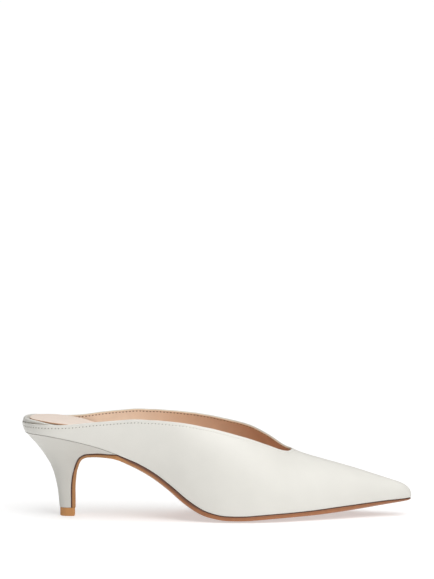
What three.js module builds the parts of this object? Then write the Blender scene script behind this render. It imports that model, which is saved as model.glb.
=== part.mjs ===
// A pointed mule on a slim stiletto heel: a right shoe, in millimetres, +X to the toe, +Y to the inner
// side of the foot and +Z up. The shoe stands on its top piece and on the tread of its outsole.
// Every piece is worked out from the sizes below and from tables of shares of those sizes.
import * as THREE from "three";
import { mergeVertices } from "three/addons/utils/BufferGeometryUtils.js";

// Overall sizes of the last
const LENGTH = 260; // back of the band to the tip of the toe
const BALL_WIDTH = 77; // across the feather line at the ball
const SEAT_WIDTH = 51; // across the feather line at the heel seat
const SEAT_HEIGHT = 57.6; // floor to the seam under the band, at the back
const TOE_SPRING = 7.6; // rise of the feather line from the tread to the tip
const VAMP_RISE = 37.8; // feather line to the ridge of the vamp, at the throat
const THROAT = 180.5; // back of the band to the point of the throat
const TREAD_BACK = 137; // the tread lies flat on the floor from here
const TREAD_FRONT = 150; // to here
const TIP_SWING = 2.4; // the tip lies this far to the inner side
const BACK_SET = 1.7; // the seam lies this far inside the back of the band
const SEAT_ROUND = 24; // length of the rounded end of the seat
const TOE_ROUND = 6.5; // length of the rounded end of the toe, in plan
const TOE_CAP = 9; // tip to where the ridge starts to fall away

// Thicknesses and clearances
const WALL = 1.8; // leather and lining of the upper
const GAP = 0.3; // between pieces that touch
const SOLE_TREAD = 4.2; // outsole, at the middle of the tread
const SOLE_EDGE_LIFT = 1.35; // how far the underside rises to the edge of the tread
const SOLE_SET_IN = 0.4; // outsole inside the feather line
const SOLE_BEVEL = 0.6; // underside inside the top edge
const INSOLE_SEAT = 9.2; // insole, at the seat
const INSOLE_SIDE_GAP = 0.5; // insole to the inside of the upper
const INSOLE_LIFT = 0.2; // underside of the insole over the feather line
const INSOLE_SHORT = 11; // insole ends this far behind the tip
const RIM_SET = 0.7; // rim of the insole inside the outside of the band, at the back
const RIM_REACH = 9; // the rim lies over the edge of the band as far as this from the back
const RIM_FADE = 24; // and stands over the rest of the insole as far as this
const RIM_RISE = 1.6; // rim over the rest of the insole, at the back
const RIM_TOP = 1.6; // width of the rim's top
const RIM_ROUND = 0.7; // rounded edge of the rim
const SOCK = 1.1; // thickness of the sock
const SOCK_BORDER = 0.5; // rim to sock
const SOCK_SHORT = 17; // sock ends this far behind the tip

// Heel and top piece
const SEAT_END = 63; // the heel's seat runs as far as this from the back
const HEEL_TIP_BACK = 24.8; // back of the heel's lower end, from the back of the band
const HEEL_TIP_BREAST = 32.5; // front of the heel's lower end
const HEEL_TIP_WIDTH = 9.8; // width of the heel's lower end
const TOP_PIECE_HEIGHT = 5.4;
const TOP_PIECE_ROUND = 1.6; // front corners of the top piece
const FLAP = 2.5; // outsole, where it runs down the breast

// The feather line, where the upper meets the sole. along: share of LENGTH. ball: how far the width has
// gone from SEAT_WIDTH to BALL_WIDTH. outer, inner: shares of that width, each side of the middle.
// seat: share of SEAT_HEIGHT above the tread. spring: share of TOE_SPRING. sole: outsole's thickness as
// a share of SOLE_TREAD. insole: its thickness as a share of INSOLE_SEAT.
const FEATHER = [
  { along: 0, ball: 0, outer: 0.5, inner: 0.5, seat: 1, spring: 0, sole: 0.731, insole: 0.836 },
  { along: 0.052, ball: 0, outer: 0.5, inner: 0.5, seat: 0.9886, spring: 0, sole: 0.731, insole: 0.822 },
  { along: 0.095, ball: 0, outer: 0.5, inner: 0.5, seat: 0.9566, spring: 0, sole: 0.731, insole: 0.905 },
  { along: 0.127, ball: 0, outer: 0.5, inner: 0.498, seat: 0.9225, spring: 0, sole: 0.737, insole: 0.98 },
  { along: 0.16, ball: 0.02, outer: 0.49, inner: 0.475, seat: 0.8838, spring: 0, sole: 0.759, insole: 1.008 },
  { along: 0.192, ball: 0.07, outer: 0.47, inner: 0.44, seat: 0.8401, spring: 0, sole: 0.79, insole: 0.968 },
  { along: 0.227, ball: 0.15, outer: 0.445, inner: 0.4, seat: 0.7804, spring: 0, sole: 0.867, insole: 0.93 },
  { along: 0.26, ball: 0.26, outer: 0.423, inner: 0.357, seat: 0.7149, spring: 0, sole: 1.044, insole: 0.84 },
  { along: 0.3, ball: 0.4, outer: 0.405, inner: 0.32, seat: 0.6301, spring: 0, sole: 1.117, insole: 0.72 },
  { along: 0.343, ball: 0.55, outer: 0.4, inner: 0.302, seat: 0.5092, spring: 0, sole: 1.112, insole: 0.6 },
  { along: 0.384, ball: 0.68, outer: 0.412, inner: 0.315, seat: 0.358, spring: 0, sole: 1.101, insole: 0.5 },
  { along: 0.425, ball: 0.8, outer: 0.437, inner: 0.355, seat: 0.1935, spring: 0, sole: 1.11, insole: 0.44 },
  { along: 0.466, ball: 0.9, outer: 0.461, inner: 0.409, seat: 0.0701, spring: 0, sole: 1.08, insole: 0.4 },
  { along: 0.505, ball: 0.97, outer: 0.478, inner: 0.453, seat: 0.0132, spring: 0, sole: 1.007, insole: 0.38 },
  { along: 0.532, ball: 0.99, outer: 0.486, inner: 0.477, seat: 0.001, spring: 0, sole: 1.014, insole: 0.38 },
  { along: 0.572, ball: 1, outer: 0.489, inner: 0.502, seat: 0, spring: 0.005, sole: 1.01, insole: 0.38 },
  { along: 0.606, ball: 1, outer: 0.48, inner: 0.511, seat: 0, spring: 0.081, sole: 1.03, insole: 0.38 },
  { along: 0.64, ball: 1, outer: 0.46, inner: 0.504, seat: 0, spring: 0.151, sole: 1.016, insole: 0.38 },
  { along: 0.69, ball: 1, outer: 0.41, inner: 0.47, seat: 0, spring: 0.224, sole: 1.001, insole: 0.38 },
  { along: 0.75, ball: 1, outer: 0.335, inner: 0.408, seat: 0, spring: 0.334, sole: 1.012, insole: 0.38 },
  { along: 0.81, ball: 1, outer: 0.255, inner: 0.335, seat: 0, spring: 0.512, sole: 1.017, insole: 0.38 },
  { along: 0.87, ball: 1, outer: 0.176, inner: 0.258, seat: 0, spring: 0.684, sole: 0.981, insole: 0.38 },
  { along: 0.93, ball: 1, outer: 0.096, inner: 0.174, seat: 0, spring: 0.844, sole: 0.776, insole: 0.36 },
  { along: 1, ball: 1, outer: 0.02, inner: 0.07, seat: 0, spring: 0.987, sole: 0.381, insole: 0.34 },
];

// The walls over the feather line. Each section is one curve from the feather line to the ridge of the
// last, which carries on over the foot where the upper is cut away. crown: ridge over the feather line,
// share of VAMP_RISE. flareOuter, flareInner: outward slope at the feather line. foot, dome: reach of
// the curve's two handles, shares of its height and of its width.
const WALLS = [
  { along: 0.0, crown: 0.75, flareOuter: 0.5, flareInner: 0.5, foot: 0.45, dome: 0.75 },
  { along: 0.1, crown: 0.85, flareOuter: 0.34, flareInner: 0.34, foot: 0.45, dome: 0.85 },
  { along: 0.2, crown: 1.25, flareOuter: 0.33, flareInner: 0.33, foot: 0.45, dome: 0.95 },
  { along: 0.3, crown: 1.7, flareOuter: 0.28, flareInner: 0.44, foot: 0.47, dome: 1.0 },
  { along: 0.4, crown: 1.85, flareOuter: 0.2, flareInner: 0.3, foot: 0.52, dome: 1.0 },
  { along: 0.5, crown: 1.85, flareOuter: 0.08, flareInner: 0.1, foot: 0.58, dome: 0.95 },
  { along: 0.57, crown: 1.641, flareOuter: 0.06, flareInner: 0.06, foot: 0.6, dome: 0.82 },
  { along: 0.63, crown: 1.352, flareOuter: 0.06, flareInner: 0.06, foot: 0.58, dome: 0.68 },
  { along: 0.675, crown: 1.105, flareOuter: 0.08, flareInner: 0.08, foot: 0.56, dome: 0.58 },
  { along: 0.712, crown: 0.962, flareOuter: 0.1, flareInner: 0.1, foot: 0.55, dome: 0.52 },
  { along: 0.77, crown: 0.812, flareOuter: 0.12, flareInner: 0.12, foot: 0.55, dome: 0.5 },
  { along: 0.85, crown: 0.608, flareOuter: 0.12, flareInner: 0.12, foot: 0.55, dome: 0.52 },
  { along: 0.92, crown: 0.417, flareOuter: 0.12, flareInner: 0.12, foot: 0.55, dome: 0.56 },
  { along: 1.0, crown: 0.205, flareOuter: 0.12, flareInner: 0.12, foot: 0.55, dome: 0.6 },
];

// The topline. along: share of the way from the back to the throat. outer, inner: where each side is
// cut, as a share of the section's curve.
const TOPLINE = [
  { along: 0, outer: 0.15, inner: 0.15 },
  { along: 0.0305, outer: 0.165, inner: 0.165 },
  { along: 0.082, outer: 0.173, inner: 0.173 },
  { along: 0.1435, outer: 0.204, inner: 0.209 },
  { along: 0.2255, outer: 0.246, inner: 0.244 },
  { along: 0.3075, outer: 0.279, inner: 0.29 },
  { along: 0.3895, outer: 0.314, inner: 0.325 },
  { along: 0.4715, outer: 0.356, inner: 0.369 },
  { along: 0.5175, outer: 0.399, inner: 0.413 },
  { along: 0.5607, outer: 0.45, inner: 0.466 },
  { along: 0.6028, outer: 0.506, inner: 0.525 },
  { along: 0.6449, outer: 0.548, inner: 0.575 },
  { along: 0.687, outer: 0.575, inner: 0.608 },
  { along: 0.7285, outer: 0.586, inner: 0.623 },
  { along: 0.7717, outer: 0.595, inner: 0.644 },
  { along: 0.8139, outer: 0.611, inner: 0.681 },
  { along: 0.856, outer: 0.631, inner: 0.721 },
  { along: 0.8981, outer: 0.662, inner: 0.758 },
  { along: 0.9391, outer: 0.71, inner: 0.79 },
  { along: 0.974, outer: 0.788, inner: 0.822 },
  { along: 1, outer: 1, inner: 1 },
];

// The heel, from its lower end up to the seat. Each row is one section, from the breast to the back.
// out, up: the breast's edge, shares of the way from the lower end to the end of the seat. spread: the
// breast's half width, share of the way to the sole's. backOut, backUp: the same for the back line.
// girth: the largest half width. round: 0 has the seat's outline and 1 the half ellipse of the lower end.
const HEEL = [
  { out: 0.0, up: 0.0, spread: 0.0, backOut: 0.0, backUp: 0.0, girth: 0.0, round: 1 },
  { out: 0.0, up: 0.192, spread: 0.017, backOut: 0.03, backUp: 0.142, girth: 0.024, round: 1 },
  { out: 0.004, up: 0.378, spread: 0.045, backOut: 0.074, backUp: 0.284, girth: 0.063, round: 1 },
  { out: 0.036, up: 0.622, spread: 0.1, backOut: 0.16, backUp: 0.444, girth: 0.136, round: 1 },
  { out: 0.085, up: 0.765, spread: 0.158, backOut: 0.251, backUp: 0.554, girth: 0.228, round: 1 },
  { out: 0.124, up: 0.843, spread: 0.21, backOut: 0.318, backUp: 0.609, girth: 0.291, round: 0.97 },
  { out: 0.182, up: 0.91, spread: 0.294, backOut: 0.395, backUp: 0.667, girth: 0.374, round: 0.92 },
  { out: 0.258, up: 0.955, spread: 0.395, backOut: 0.484, backUp: 0.726, girth: 0.471, round: 0.84 },
  { out: 0.345, up: 0.985, spread: 0.497, backOut: 0.577, backUp: 0.784, girth: 0.578, round: 0.73 },
  { out: 0.441, up: 0.997, spread: 0.605, backOut: 0.675, backUp: 0.839, girth: 0.675, round: 0.59 },
  { out: 0.62, up: 1.011, spread: 0.763, backOut: 0.797, backUp: 0.901, girth: 0.796, round: 0.38 },
  { out: 0.833, up: 1.002, spread: 0.915, backOut: 0.911, backUp: 0.959, girth: 0.908, round: 0.17 },
  { out: 1.0, up: 1.0, spread: 1.0, backOut: 1.0, backUp: 1.0, girth: 1.0, round: 0 },
];

// How finely the curved pieces are faceted
const HEEL_STEPS = 8; // stations round the back of the seat
const TOE_STEPS = 6; // stations round the tip
const PITCH = 6.8; // largest step between the other stations
const WALL_ROWS = 10; // rows from the feather line to the topline
const UNDERSIDE = [-1, -0.84, -0.6, 0, 0.6, 0.84, 1]; // places across the sole, shares of its half width
const FLAT_SHARE = 0.6; // the underside is level across as far as this

const WHITE_LEATHER = { color: 0xe6e4de, roughness: 0.5, metalness: 0 };
const TAN_LEATHER = { color: 0xb0754b, roughness: 0.5, metalness: 0 };
const TOP_PIECE_RUBBER = { color: 0xc08a55, roughness: 0.55, metalness: 0 };
const BEIGE_LEATHER = { color: 0xe3cdb9, roughness: 0.6, metalness: 0 };

const OUTER = -1;
const INNER = 1;
const SIDES = [OUTER, INNER];
const TREAD_TOP = SOLE_TREAD + GAP; // height of the feather line over the tread
const HEEL_BOTTOM = TOP_PIECE_HEIGHT + GAP;
const TOE_POLE = LENGTH - TOE_CAP;
const SEAT_CENTRE = BACK_SET + SEAT_ROUND;

const mix = (a, b, share) => a + (b - a) * share;
const limit = (value) => Math.min(1, Math.max(0, value));
const vector = (x, y, z) => new THREE.Vector3(x, y, z);

// A smooth step from 0 to 1.
function ease(share) {
  const t = limit(share);
  return t * t * (3 - 2 * t);
}

// A column of a table, read at a share along it: cubics that pass through the rows.
function column(table, name, along) {
  const last = table.length - 1;
  let i = 0;
  while (i < last - 1 && along > table[i + 1].along) i += 1;
  const slopeAt = (k) => {
    const before = table[Math.max(0, k - 1)];
    const after = table[Math.min(last, k + 1)];
    return (after[name] - before[name]) / (after.along - before.along);
  };
  const span = table[i + 1].along - table[i].along;
  const t = limit((along - table[i].along) / span);
  const t2 = t * t;
  const t3 = t2 * t;
  return (
    (2 * t3 - 3 * t2 + 1) * table[i][name] +
    (t3 - 2 * t2 + t) * span * slopeAt(i) +
    (3 * t2 - 2 * t3) * table[i + 1][name] +
    (t3 - t2) * span * slopeAt(i + 1)
  );
}

// Height of the feather line.
function featherHeight(x) {
  const seat = column(FEATHER, "seat", x / LENGTH);
  const spring = column(FEATHER, "spring", x / LENGTH);
  return TREAD_TOP + seat * (SEAT_HEIGHT - TREAD_TOP) + spring * TOE_SPRING;
}

// A rounded end of the outline: 0 at the end and 1 once the round stretch is over.
function roundEnd(distance, length, power) {
  const left = 1 - limit(distance / length);
  return Math.pow(1 - Math.pow(left, power), 1 / power);
}

// A point of the feather line, on one side.
function feather(x, side) {
  const along = x / LENGTH;
  const width = mix(SEAT_WIDTH, BALL_WIDTH, column(FEATHER, "ball", along));
  const outer = column(FEATHER, "outer", along) * width;
  const inner = column(FEATHER, "inner", along) * width;
  const round = roundEnd(x - BACK_SET, SEAT_ROUND, 2.3) * roundEnd(LENGTH - x, TOE_ROUND, 2);
  const middle = (inner - outer) / 2;
  return vector(x, middle + (side * round * (inner + outer)) / 2, featherHeight(x));
}

// The middle of the ridge over a place on the feather line. At both ends the sections fan out from it.
function ridge(x) {
  const at = Math.min(TOE_POLE, Math.max(SEAT_CENTRE, x));
  const rise = column(WALLS, "crown", at / LENGTH) * VAMP_RISE;
  return vector(at, TIP_SWING * ease(at / LENGTH), featherHeight(at) + rise);
}

// A point of a section's curve, share 0 at the feather line and 1 at the ridge.
function sectionPoint(x, side, share) {
  const along = x / LENGTH;
  const start = feather(x, side);
  const end = ridge(x);
  const across = vector(start.x - end.x, start.y - end.y, 0);
  const reach = across.length();
  across.normalize();
  const flare = column(WALLS, side === OUTER ? "flareOuter" : "flareInner", along);
  const up = column(WALLS, "foot", along) * (end.z - start.z);
  const slope = (ridge(end.x + 1).z - ridge(end.x - 1).z) / 2;
  const lower = start.clone().addScaledVector(across, flare * up).setZ(start.z + up);
  const handle = column(WALLS, "dome", along) * reach;
  const falling = end.x >= TOE_POLE ? slope * 2 : slope;
  const upper = vector(across.x, across.y, falling * across.x).multiplyScalar(handle).add(end);
  return new THREE.CubicBezierCurve3(start, lower, upper, end).getPoint(share);
}

// Where the topline cuts a section.
function cutShare(x, side) {
  if (x >= THROAT) return 1;
  return column(TOPLINE, side === OUTER ? "outer" : "inner", x / THROAT);
}

// Places along the shoe where the pieces have their sections, closer together round the two ends.
function makeStations() {
  const list = [];
  for (let k = 0; k < HEEL_STEPS; k += 1) {
    list.push(SEAT_CENTRE - SEAT_ROUND * Math.cos(((k / HEEL_STEPS) * Math.PI) / 2));
  }
  const stops = [SEAT_CENTRE, SEAT_END, TREAD_BACK, TREAD_FRONT, THROAT, TOE_POLE];
  for (let s = 0; s < stops.length - 1; s += 1) {
    const steps = Math.ceil((stops[s + 1] - stops[s]) / PITCH);
    for (let k = 0; k < steps; k += 1) list.push(mix(stops[s], stops[s + 1], k / steps));
  }
  for (let k = 0; k <= TOE_STEPS; k += 1) {
    list.push(TOE_POLE + TOE_CAP * Math.sin(((k / TOE_STEPS) * Math.PI) / 2));
  }
  return list;
}
const stations = makeStations();

// The outward direction of the outline at a station, in plan.
function outward(i, side) {
  const at = (k) => {
    if (k < 0) return feather(stations[-k], -side);
    if (k >= stations.length) return feather(stations[2 * stations.length - 2 - k], -side);
    return feather(stations[k], side);
  };
  const run = at(i + 1).sub(at(i - 1));
  return vector(-side * run.y, side * run.x, 0).normalize();
}

// The place on the outside of a section at a height over the feather line, moved in from the outside.
function wallPoint(i, side, height, inset) {
  const x = stations[i];
  const floor = featherHeight(x);
  let low = 0;
  let high = 1;
  for (let k = 0; k < 30; k += 1) {
    const middle = (low + high) / 2;
    if (sectionPoint(x, side, middle).z - floor < height) low = middle;
    else high = middle;
  }
  const point = sectionPoint(x, side, low).addScaledVector(outward(i, side), -inset);
  return point.setZ(floor + height);
}

// Triangles that build up one surface.
class Skin {
  constructor() {
    this.corners = [];
  }

  triangle(a, b, c) {
    this.corners.push(a, b, c);
  }

  quad(a, b, c, d) {
    this.triangle(a, b, c);
    this.triangle(a, c, d);
  }

  // Rows of points of equal length, joined into a sheet.
  sheet(rows) {
    for (let i = 0; i < rows.length - 1; i += 1) {
      for (let j = 0; j < rows[i].length - 1; j += 1) {
        this.quad(rows[i][j], rows[i + 1][j], rows[i + 1][j + 1], rows[i][j + 1]);
      }
    }
    return this;
  }

  // Vertices that are shared and triangles that have an area.
  indexed() {
    const geometry = new THREE.BufferGeometry().setFromPoints(this.corners);
    const merged = mergeVertices(geometry, 1e-3);
    const place = merged.getAttribute("position");
    const points = [];
    for (let i = 0; i < place.count; i += 1) {
      points.push(vector(place.getX(i), place.getY(i), place.getZ(i)));
    }
    const index = merged.index.array;
    const faces = [];
    for (let i = 0; i < index.length; i += 3) {
      const [a, b, c] = [index[i], index[i + 1], index[i + 2]];
      if (a !== b && b !== c && c !== a) faces.push([a, b, c]);
    }
    return { points, faces };
  }
}

// A geometry from shared points and faces, with its faces turned to point out.
function geometryOf({ points, faces }) {
  const volume = faces.reduce((sum, [a, b, c]) => {
    return sum + points[a].dot(points[b].clone().cross(points[c]));
  }, 0);
  const turned = volume < 0 ? faces.map(([a, b, c]) => [a, c, b]) : faces;
  const geometry = new THREE.BufferGeometry().setFromPoints(points);
  geometry.setIndex(turned.flat());
  geometry.computeVertexNormals();
  return geometry;
}

// Gives an open surface a thickness: a second layer inside it, joined to it along every open edge.
function thicken({ points, faces }, thickness) {
  const normals = points.map(() => vector(0, 0, 0));
  faces.forEach(([a, b, c]) => {
    const normal = points[b].clone().sub(points[a]).cross(points[c].clone().sub(points[a]));
    [a, b, c].forEach((corner) => normals[corner].add(normal));
  });
  const inside = points.map((point, i) => {
    return point.clone().addScaledVector(normals[i].normalize(), -thickness);
  });
  const count = points.length;
  const all = faces.concat(faces.map(([a, b, c]) => [a + count, c + count, b + count]));
  const edges = new Set(faces.flatMap(([a, b, c]) => [`${a} ${b}`, `${b} ${c}`, `${c} ${a}`]));
  edges.forEach((edge) => {
    const [a, b] = edge.split(" ").map(Number);
    if (edges.has(`${b} ${a}`)) return;
    all.push([b, a, a + count], [b, a + count, b + count]);
  });
  return { points: points.concat(inside), faces: all };
}

// A body between loops that each have the same number of points, closed by a cap at either end. Each
// loop runs down the outer side and back up the inner one, so the caps are strips from side to side.
function loftBody(loops) {
  const skin = new Skin();
  skin.sheet(loops.map((loop) => [...loop, loop[0]]));
  [loops[0], [...loops[loops.length - 1]].reverse()].forEach((loop) => {
    for (let k = 0; k < loop.length / 2 - 1; k += 1) {
      const far = loop.length - 1 - k;
      skin.quad(loop[k], loop[k + 1], loop[far - 1], loop[far]);
    }
  });
  return geometryOf(skin.indexed());
}

// The upper: both sides as one surface, from the feather line to the topline or over the ridge.
function makeUpper() {
  const skin = new Skin();
  SIDES.forEach((side) => {
    const rows = stations.map((x) => {
      const cut = cutShare(x, side);
      const row = [];
      for (let j = 0; j <= WALL_ROWS; j += 1) row.push(sectionPoint(x, side, (cut * j) / WALL_ROWS));
      return row;
    });
    skin.sheet(side === OUTER ? rows : rows.map((row) => [...row].reverse()));
  });
  return geometryOf(thicken(skin.indexed(), WALL));
}

// The edge of the breast, from the lower end of the heel to the end of the seat, with its half width.
// It is the line that the heel's cover and the outsole share.
function breastEdge(row) {
  const end = featherHeight(SEAT_END) - GAP;
  const width = (side) => {
    const sole = Math.abs(feather(SEAT_END, side).y) - SOLE_SET_IN;
    return mix(HEEL_TIP_WIDTH * 0.45, sole, row.spread);
  };
  return {
    x: mix(HEEL_TIP_BREAST, SEAT_END, row.out),
    z: mix(HEEL_BOTTOM, end, row.up),
    outer: width(OUTER),
    inner: width(INNER),
  };
}

// The heel: a fan of sections that turn from level at the lower end to the slope of the seat.
function makeHeel() {
  const seatStations = stations.filter((x) => x <= SEAT_END + 1e-6);
  const steps = seatStations.length - 1;
  const seatLength = SEAT_END - BACK_SET;
  const loops = HEEL.map((row) => {
    const front = breastEdge(row);
    const back = {
      x: mix(HEEL_TIP_BACK, BACK_SET, row.backOut),
      z: mix(HEEL_BOTTOM, featherHeight(BACK_SET) - GAP, row.backUp),
    };
    const sidePoints = (side) => {
      const girth = mix(HEEL_TIP_WIDTH / 2, SEAT_WIDTH / 2, row.girth);
      const corner = side === OUTER ? front.outer : front.inner;
      return seatStations.map((x, k) => {
        const seat = feather(x, side);
        const seatShare = (x - BACK_SET) / seatLength;
        const angle = ((k / steps) * Math.PI) / 2;
        const share = mix(seatShare, 1 - Math.cos(angle), row.round);
        const roundHalf = girth * Math.sin(angle) * mix(1, corner / girth, share * share);
        const seatHalf = (Math.abs(seat.y) / (SEAT_WIDTH / 2)) * girth;
        const taper = mix(1, corner / (Math.abs(feather(SEAT_END, side).y) * (girth / SEAT_WIDTH) * 2), seatShare);
        const half = mix(seatHalf * mix(1, taper, row.round), roundHalf, row.round);
        const chord = mix(back.z, front.z, share);
        const sag = seat.z - GAP - mix(featherHeight(BACK_SET) - GAP, featherHeight(SEAT_END) - GAP, seatShare);
        return vector(mix(back.x, front.x, share), side * half, chord + sag * (1 - row.round));
      });
    };
    return [...sidePoints(OUTER).reverse(), ...sidePoints(INNER).slice(1)];
  });
  return loftBody(loops);
}

// The outsole: sections across a path that climbs the breast, turns over the shank and runs to the toe.
function makeOutsole() {
  const path = HEEL.map((row) => ({ ...breastEdge(row), thickness: FLAP }));
  stations.forEach((x, i) => {
    if (x <= SEAT_END + 1e-6) return;
    const points = SIDES.map((side) => {
      return feather(x, side).addScaledVector(outward(i, side), -SOLE_SET_IN);
    });
    path.push({
      x: points[0].x,
      z: featherHeight(x) - GAP,
      outer: -points[0].y,
      inner: points[1].y,
      thickness: column(FEATHER, "sole", x / LENGTH) * SOLE_TREAD,
    });
  });
  const skin = new Skin();
  const rows = path.map((here, i) => {
    const before = path[Math.max(0, i - 1)];
    const after = path[Math.min(path.length - 1, i + 1)];
    const run = Math.hypot(after.x - before.x, after.z - before.z);
    const down = { x: (after.z - before.z) / run, z: -(after.x - before.x) / run };
    const onBreast = i < HEEL.length;
    const gap = onBreast ? GAP : 0;
    const top = { x: here.x + down.x * gap, z: here.z + down.z * gap };
    const blend = ease((i - HEEL.length + 4) / 6);
    const thickness = mix(FLAP, here.thickness, onBreast ? 0 : blend);
    const middle = (here.inner - here.outer) / 2;
    const half = (here.inner + here.outer) / 2;
    const bevel = Math.min(SOLE_BEVEL, half * 0.3);
    const lower = UNDERSIDE.map((across) => {
      const past = Math.max(0, Math.abs(across) - FLAT_SHARE) / (1 - FLAT_SHARE);
      const lift = SOLE_EDGE_LIFT * past * past * (onBreast ? 0 : blend);
      const depth = thickness - Math.min(lift, thickness * 0.4, half);
      const z = Math.max(0, top.z + down.z * depth);
      return vector(top.x + down.x * depth, middle + across * (half - bevel), z);
    });
    return [
      vector(top.x, -here.outer, top.z),
      ...lower,
      vector(top.x, here.inner, top.z),
    ];
  });
  skin.sheet(rows.map((row) => [...row, row[0]]));
  [rows[0], rows[rows.length - 1]].forEach((row, k) => {
    for (let j = 1; j < row.length - 1; j += 1) {
      if (k === 0) skin.triangle(row[0], row[j], row[j + 1]);
      else skin.triangle(row[0], row[j + 1], row[j]);
    }
  });
  return geometryOf(skin.indexed());
}

// Thickness of the insole at a station.
function insoleRise(x) {
  return column(FEATHER, "insole", x / LENGTH) * INSOLE_SEAT;
}

// A flat piece inside the shoe: outlines at several heights, one under the other, closed by strips.
// layers: for each station and side, the points from the bottom outline to the top one.
function makeSlab(count, layersAt) {
  const layers = layersAt(0, OUTER).length;
  const loops = [];
  for (let layer = 0; layer < layers; layer += 1) {
    const side = (which) => {
      const points = [];
      for (let i = 0; i < count; i += 1) points.push(layersAt(i, which)[layer]);
      return points;
    };
    loops.push([...side(OUTER).reverse(), ...side(INNER)]);
  }
  return loftBody(loops);
}

// How far the rim of the insole stands up at a station: 1 at the back, 0 where it has gone.
function rimShare(x) {
  return 1 - ease((x - BACK_SET) / RIM_FADE);
}

// How far the side of the rim lies inside the outside of the upper.
function rimInset(x) {
  return mix(RIM_SET, WALL + INSOLE_SIDE_GAP, ease((x - BACK_SET) / RIM_REACH));
}

// The insole: inside the walls, with a rim that lies over the edge of the band at the back.
function insoleLayers(i, side) {
  const x = stations[i];
  const rise = insoleRise(x);
  const share = rimShare(x);
  const rim = rise + share * RIM_RISE;
  const inset = rimInset(x);
  const band = sectionPoint(x, side, cutShare(x, side)).z - featherHeight(x);
  const under = Math.min(band + 2 * GAP, rim - 2 * RIM_ROUND);
  return [
    wallPoint(i, side, INSOLE_LIFT, WALL + INSOLE_SIDE_GAP),
    wallPoint(i, side, under, WALL + INSOLE_SIDE_GAP),
    wallPoint(i, side, under, inset),
    wallPoint(i, side, rim - RIM_ROUND, inset),
    wallPoint(i, side, rim, inset + RIM_ROUND),
    wallPoint(i, side, rim, inset + RIM_ROUND + share * RIM_TOP),
    wallPoint(i, side, rise, inset + RIM_ROUND + share * (RIM_TOP + RIM_ROUND)),
  ];
}

// The sock: a thin leather sheet on the insole, inside its rim.
function sockLayers(i, side) {
  const x = stations[i];
  const inset = rimInset(x) + RIM_ROUND + rimShare(x) * (RIM_TOP + RIM_ROUND) + SOCK_BORDER;
  const bottom = insoleRise(x) + GAP;
  return [wallPoint(i, side, bottom, inset), wallPoint(i, side, bottom + SOCK, inset)];
}

// The top piece: round behind, flat in front, under the heel and the lower end of the outsole.
function makeTopPiece() {
  const front = HEEL_TIP_BREAST + GAP + FLAP;
  const length = front - HEEL_TIP_BACK;
  const half = HEEL_TIP_WIDTH / 2;
  const shape = new THREE.Shape();
  shape.moveTo(HEEL_TIP_BACK + length * 0.6, -half);
  shape.lineTo(front - TOP_PIECE_ROUND, -half);
  shape.quadraticCurveTo(front, -half, front, -half + TOP_PIECE_ROUND);
  shape.lineTo(front, half - TOP_PIECE_ROUND);
  shape.quadraticCurveTo(front, half, front - TOP_PIECE_ROUND, half);
  shape.lineTo(HEEL_TIP_BACK + length * 0.6, half);
  shape.absellipse(HEEL_TIP_BACK + length * 0.6, 0, length * 0.6, half, Math.PI / 2, (3 * Math.PI) / 2);
  return new THREE.ExtrudeGeometry(shape, {
    depth: TOP_PIECE_HEIGHT,
    bevelEnabled: false,
    curveSegments: 6,
  });
}

function named(name, geometry, finish) {
  const mesh = new THREE.Mesh(geometry, new THREE.MeshStandardMaterial(finish));
  mesh.name = name;
  return mesh;
}

const insoleCount = stations.filter((x) => x <= LENGTH - INSOLE_SHORT).length;
const sockCount = stations.filter((x) => x <= LENGTH - SOCK_SHORT).length;

const shoe = new THREE.Group();
shoe.add(named("upper", makeUpper(), WHITE_LEATHER));
shoe.add(named("outsole", makeOutsole(), TAN_LEATHER));
shoe.add(named("heel", makeHeel(), WHITE_LEATHER));
shoe.add(named("top_piece", makeTopPiece(), TOP_PIECE_RUBBER));
shoe.add(named("insole", makeSlab(insoleCount, insoleLayers), WHITE_LEATHER));
shoe.add(named("sock", makeSlab(sockCount, sockLayers), BEIGE_LEATHER));

// The origin is under the middle of the shoe's box, on the floor.
const middle = new THREE.Box3().setFromObject(shoe).getCenter(vector(0, 0, 0));
shoe.children.forEach((mesh) => mesh.position.set(-middle.x, -middle.y, 0));

export default shoe;
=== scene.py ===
"""Looks of a pointed leather mule on a slim stiletto heel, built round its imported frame.

Every surface is worked out in millimetres on the shoe's own last, x from the back of the band to the
toe, y to the inner side of the foot and z up from the floor, and goes into its mesh in metres.
"""

import math

import bmesh
import bpy
import numpy as np
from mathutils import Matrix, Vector


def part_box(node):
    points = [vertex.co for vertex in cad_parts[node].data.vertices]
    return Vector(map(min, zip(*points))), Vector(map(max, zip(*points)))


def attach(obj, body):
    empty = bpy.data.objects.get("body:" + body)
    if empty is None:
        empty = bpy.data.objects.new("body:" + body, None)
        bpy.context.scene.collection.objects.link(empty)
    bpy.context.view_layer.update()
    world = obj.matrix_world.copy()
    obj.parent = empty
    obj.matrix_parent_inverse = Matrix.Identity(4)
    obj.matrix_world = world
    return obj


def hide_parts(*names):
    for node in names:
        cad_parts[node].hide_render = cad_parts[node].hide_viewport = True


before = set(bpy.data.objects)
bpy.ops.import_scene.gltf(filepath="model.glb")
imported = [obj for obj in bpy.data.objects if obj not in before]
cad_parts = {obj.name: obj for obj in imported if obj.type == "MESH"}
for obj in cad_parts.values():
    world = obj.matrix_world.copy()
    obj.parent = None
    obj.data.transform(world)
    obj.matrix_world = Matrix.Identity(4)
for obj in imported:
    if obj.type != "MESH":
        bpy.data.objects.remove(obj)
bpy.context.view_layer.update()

bl_info = {
    "name": "Stiletto mule",
    "version": (1, 0, 0),
    "blender": (4, 5, 0),
    "location": "3D View > Sidebar > Mule",
    "description": "Leather, lining, stitches, sock, sole and heel of a pointed mule",
    "category": "Add Mesh",
}

MM = 0.001

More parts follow.
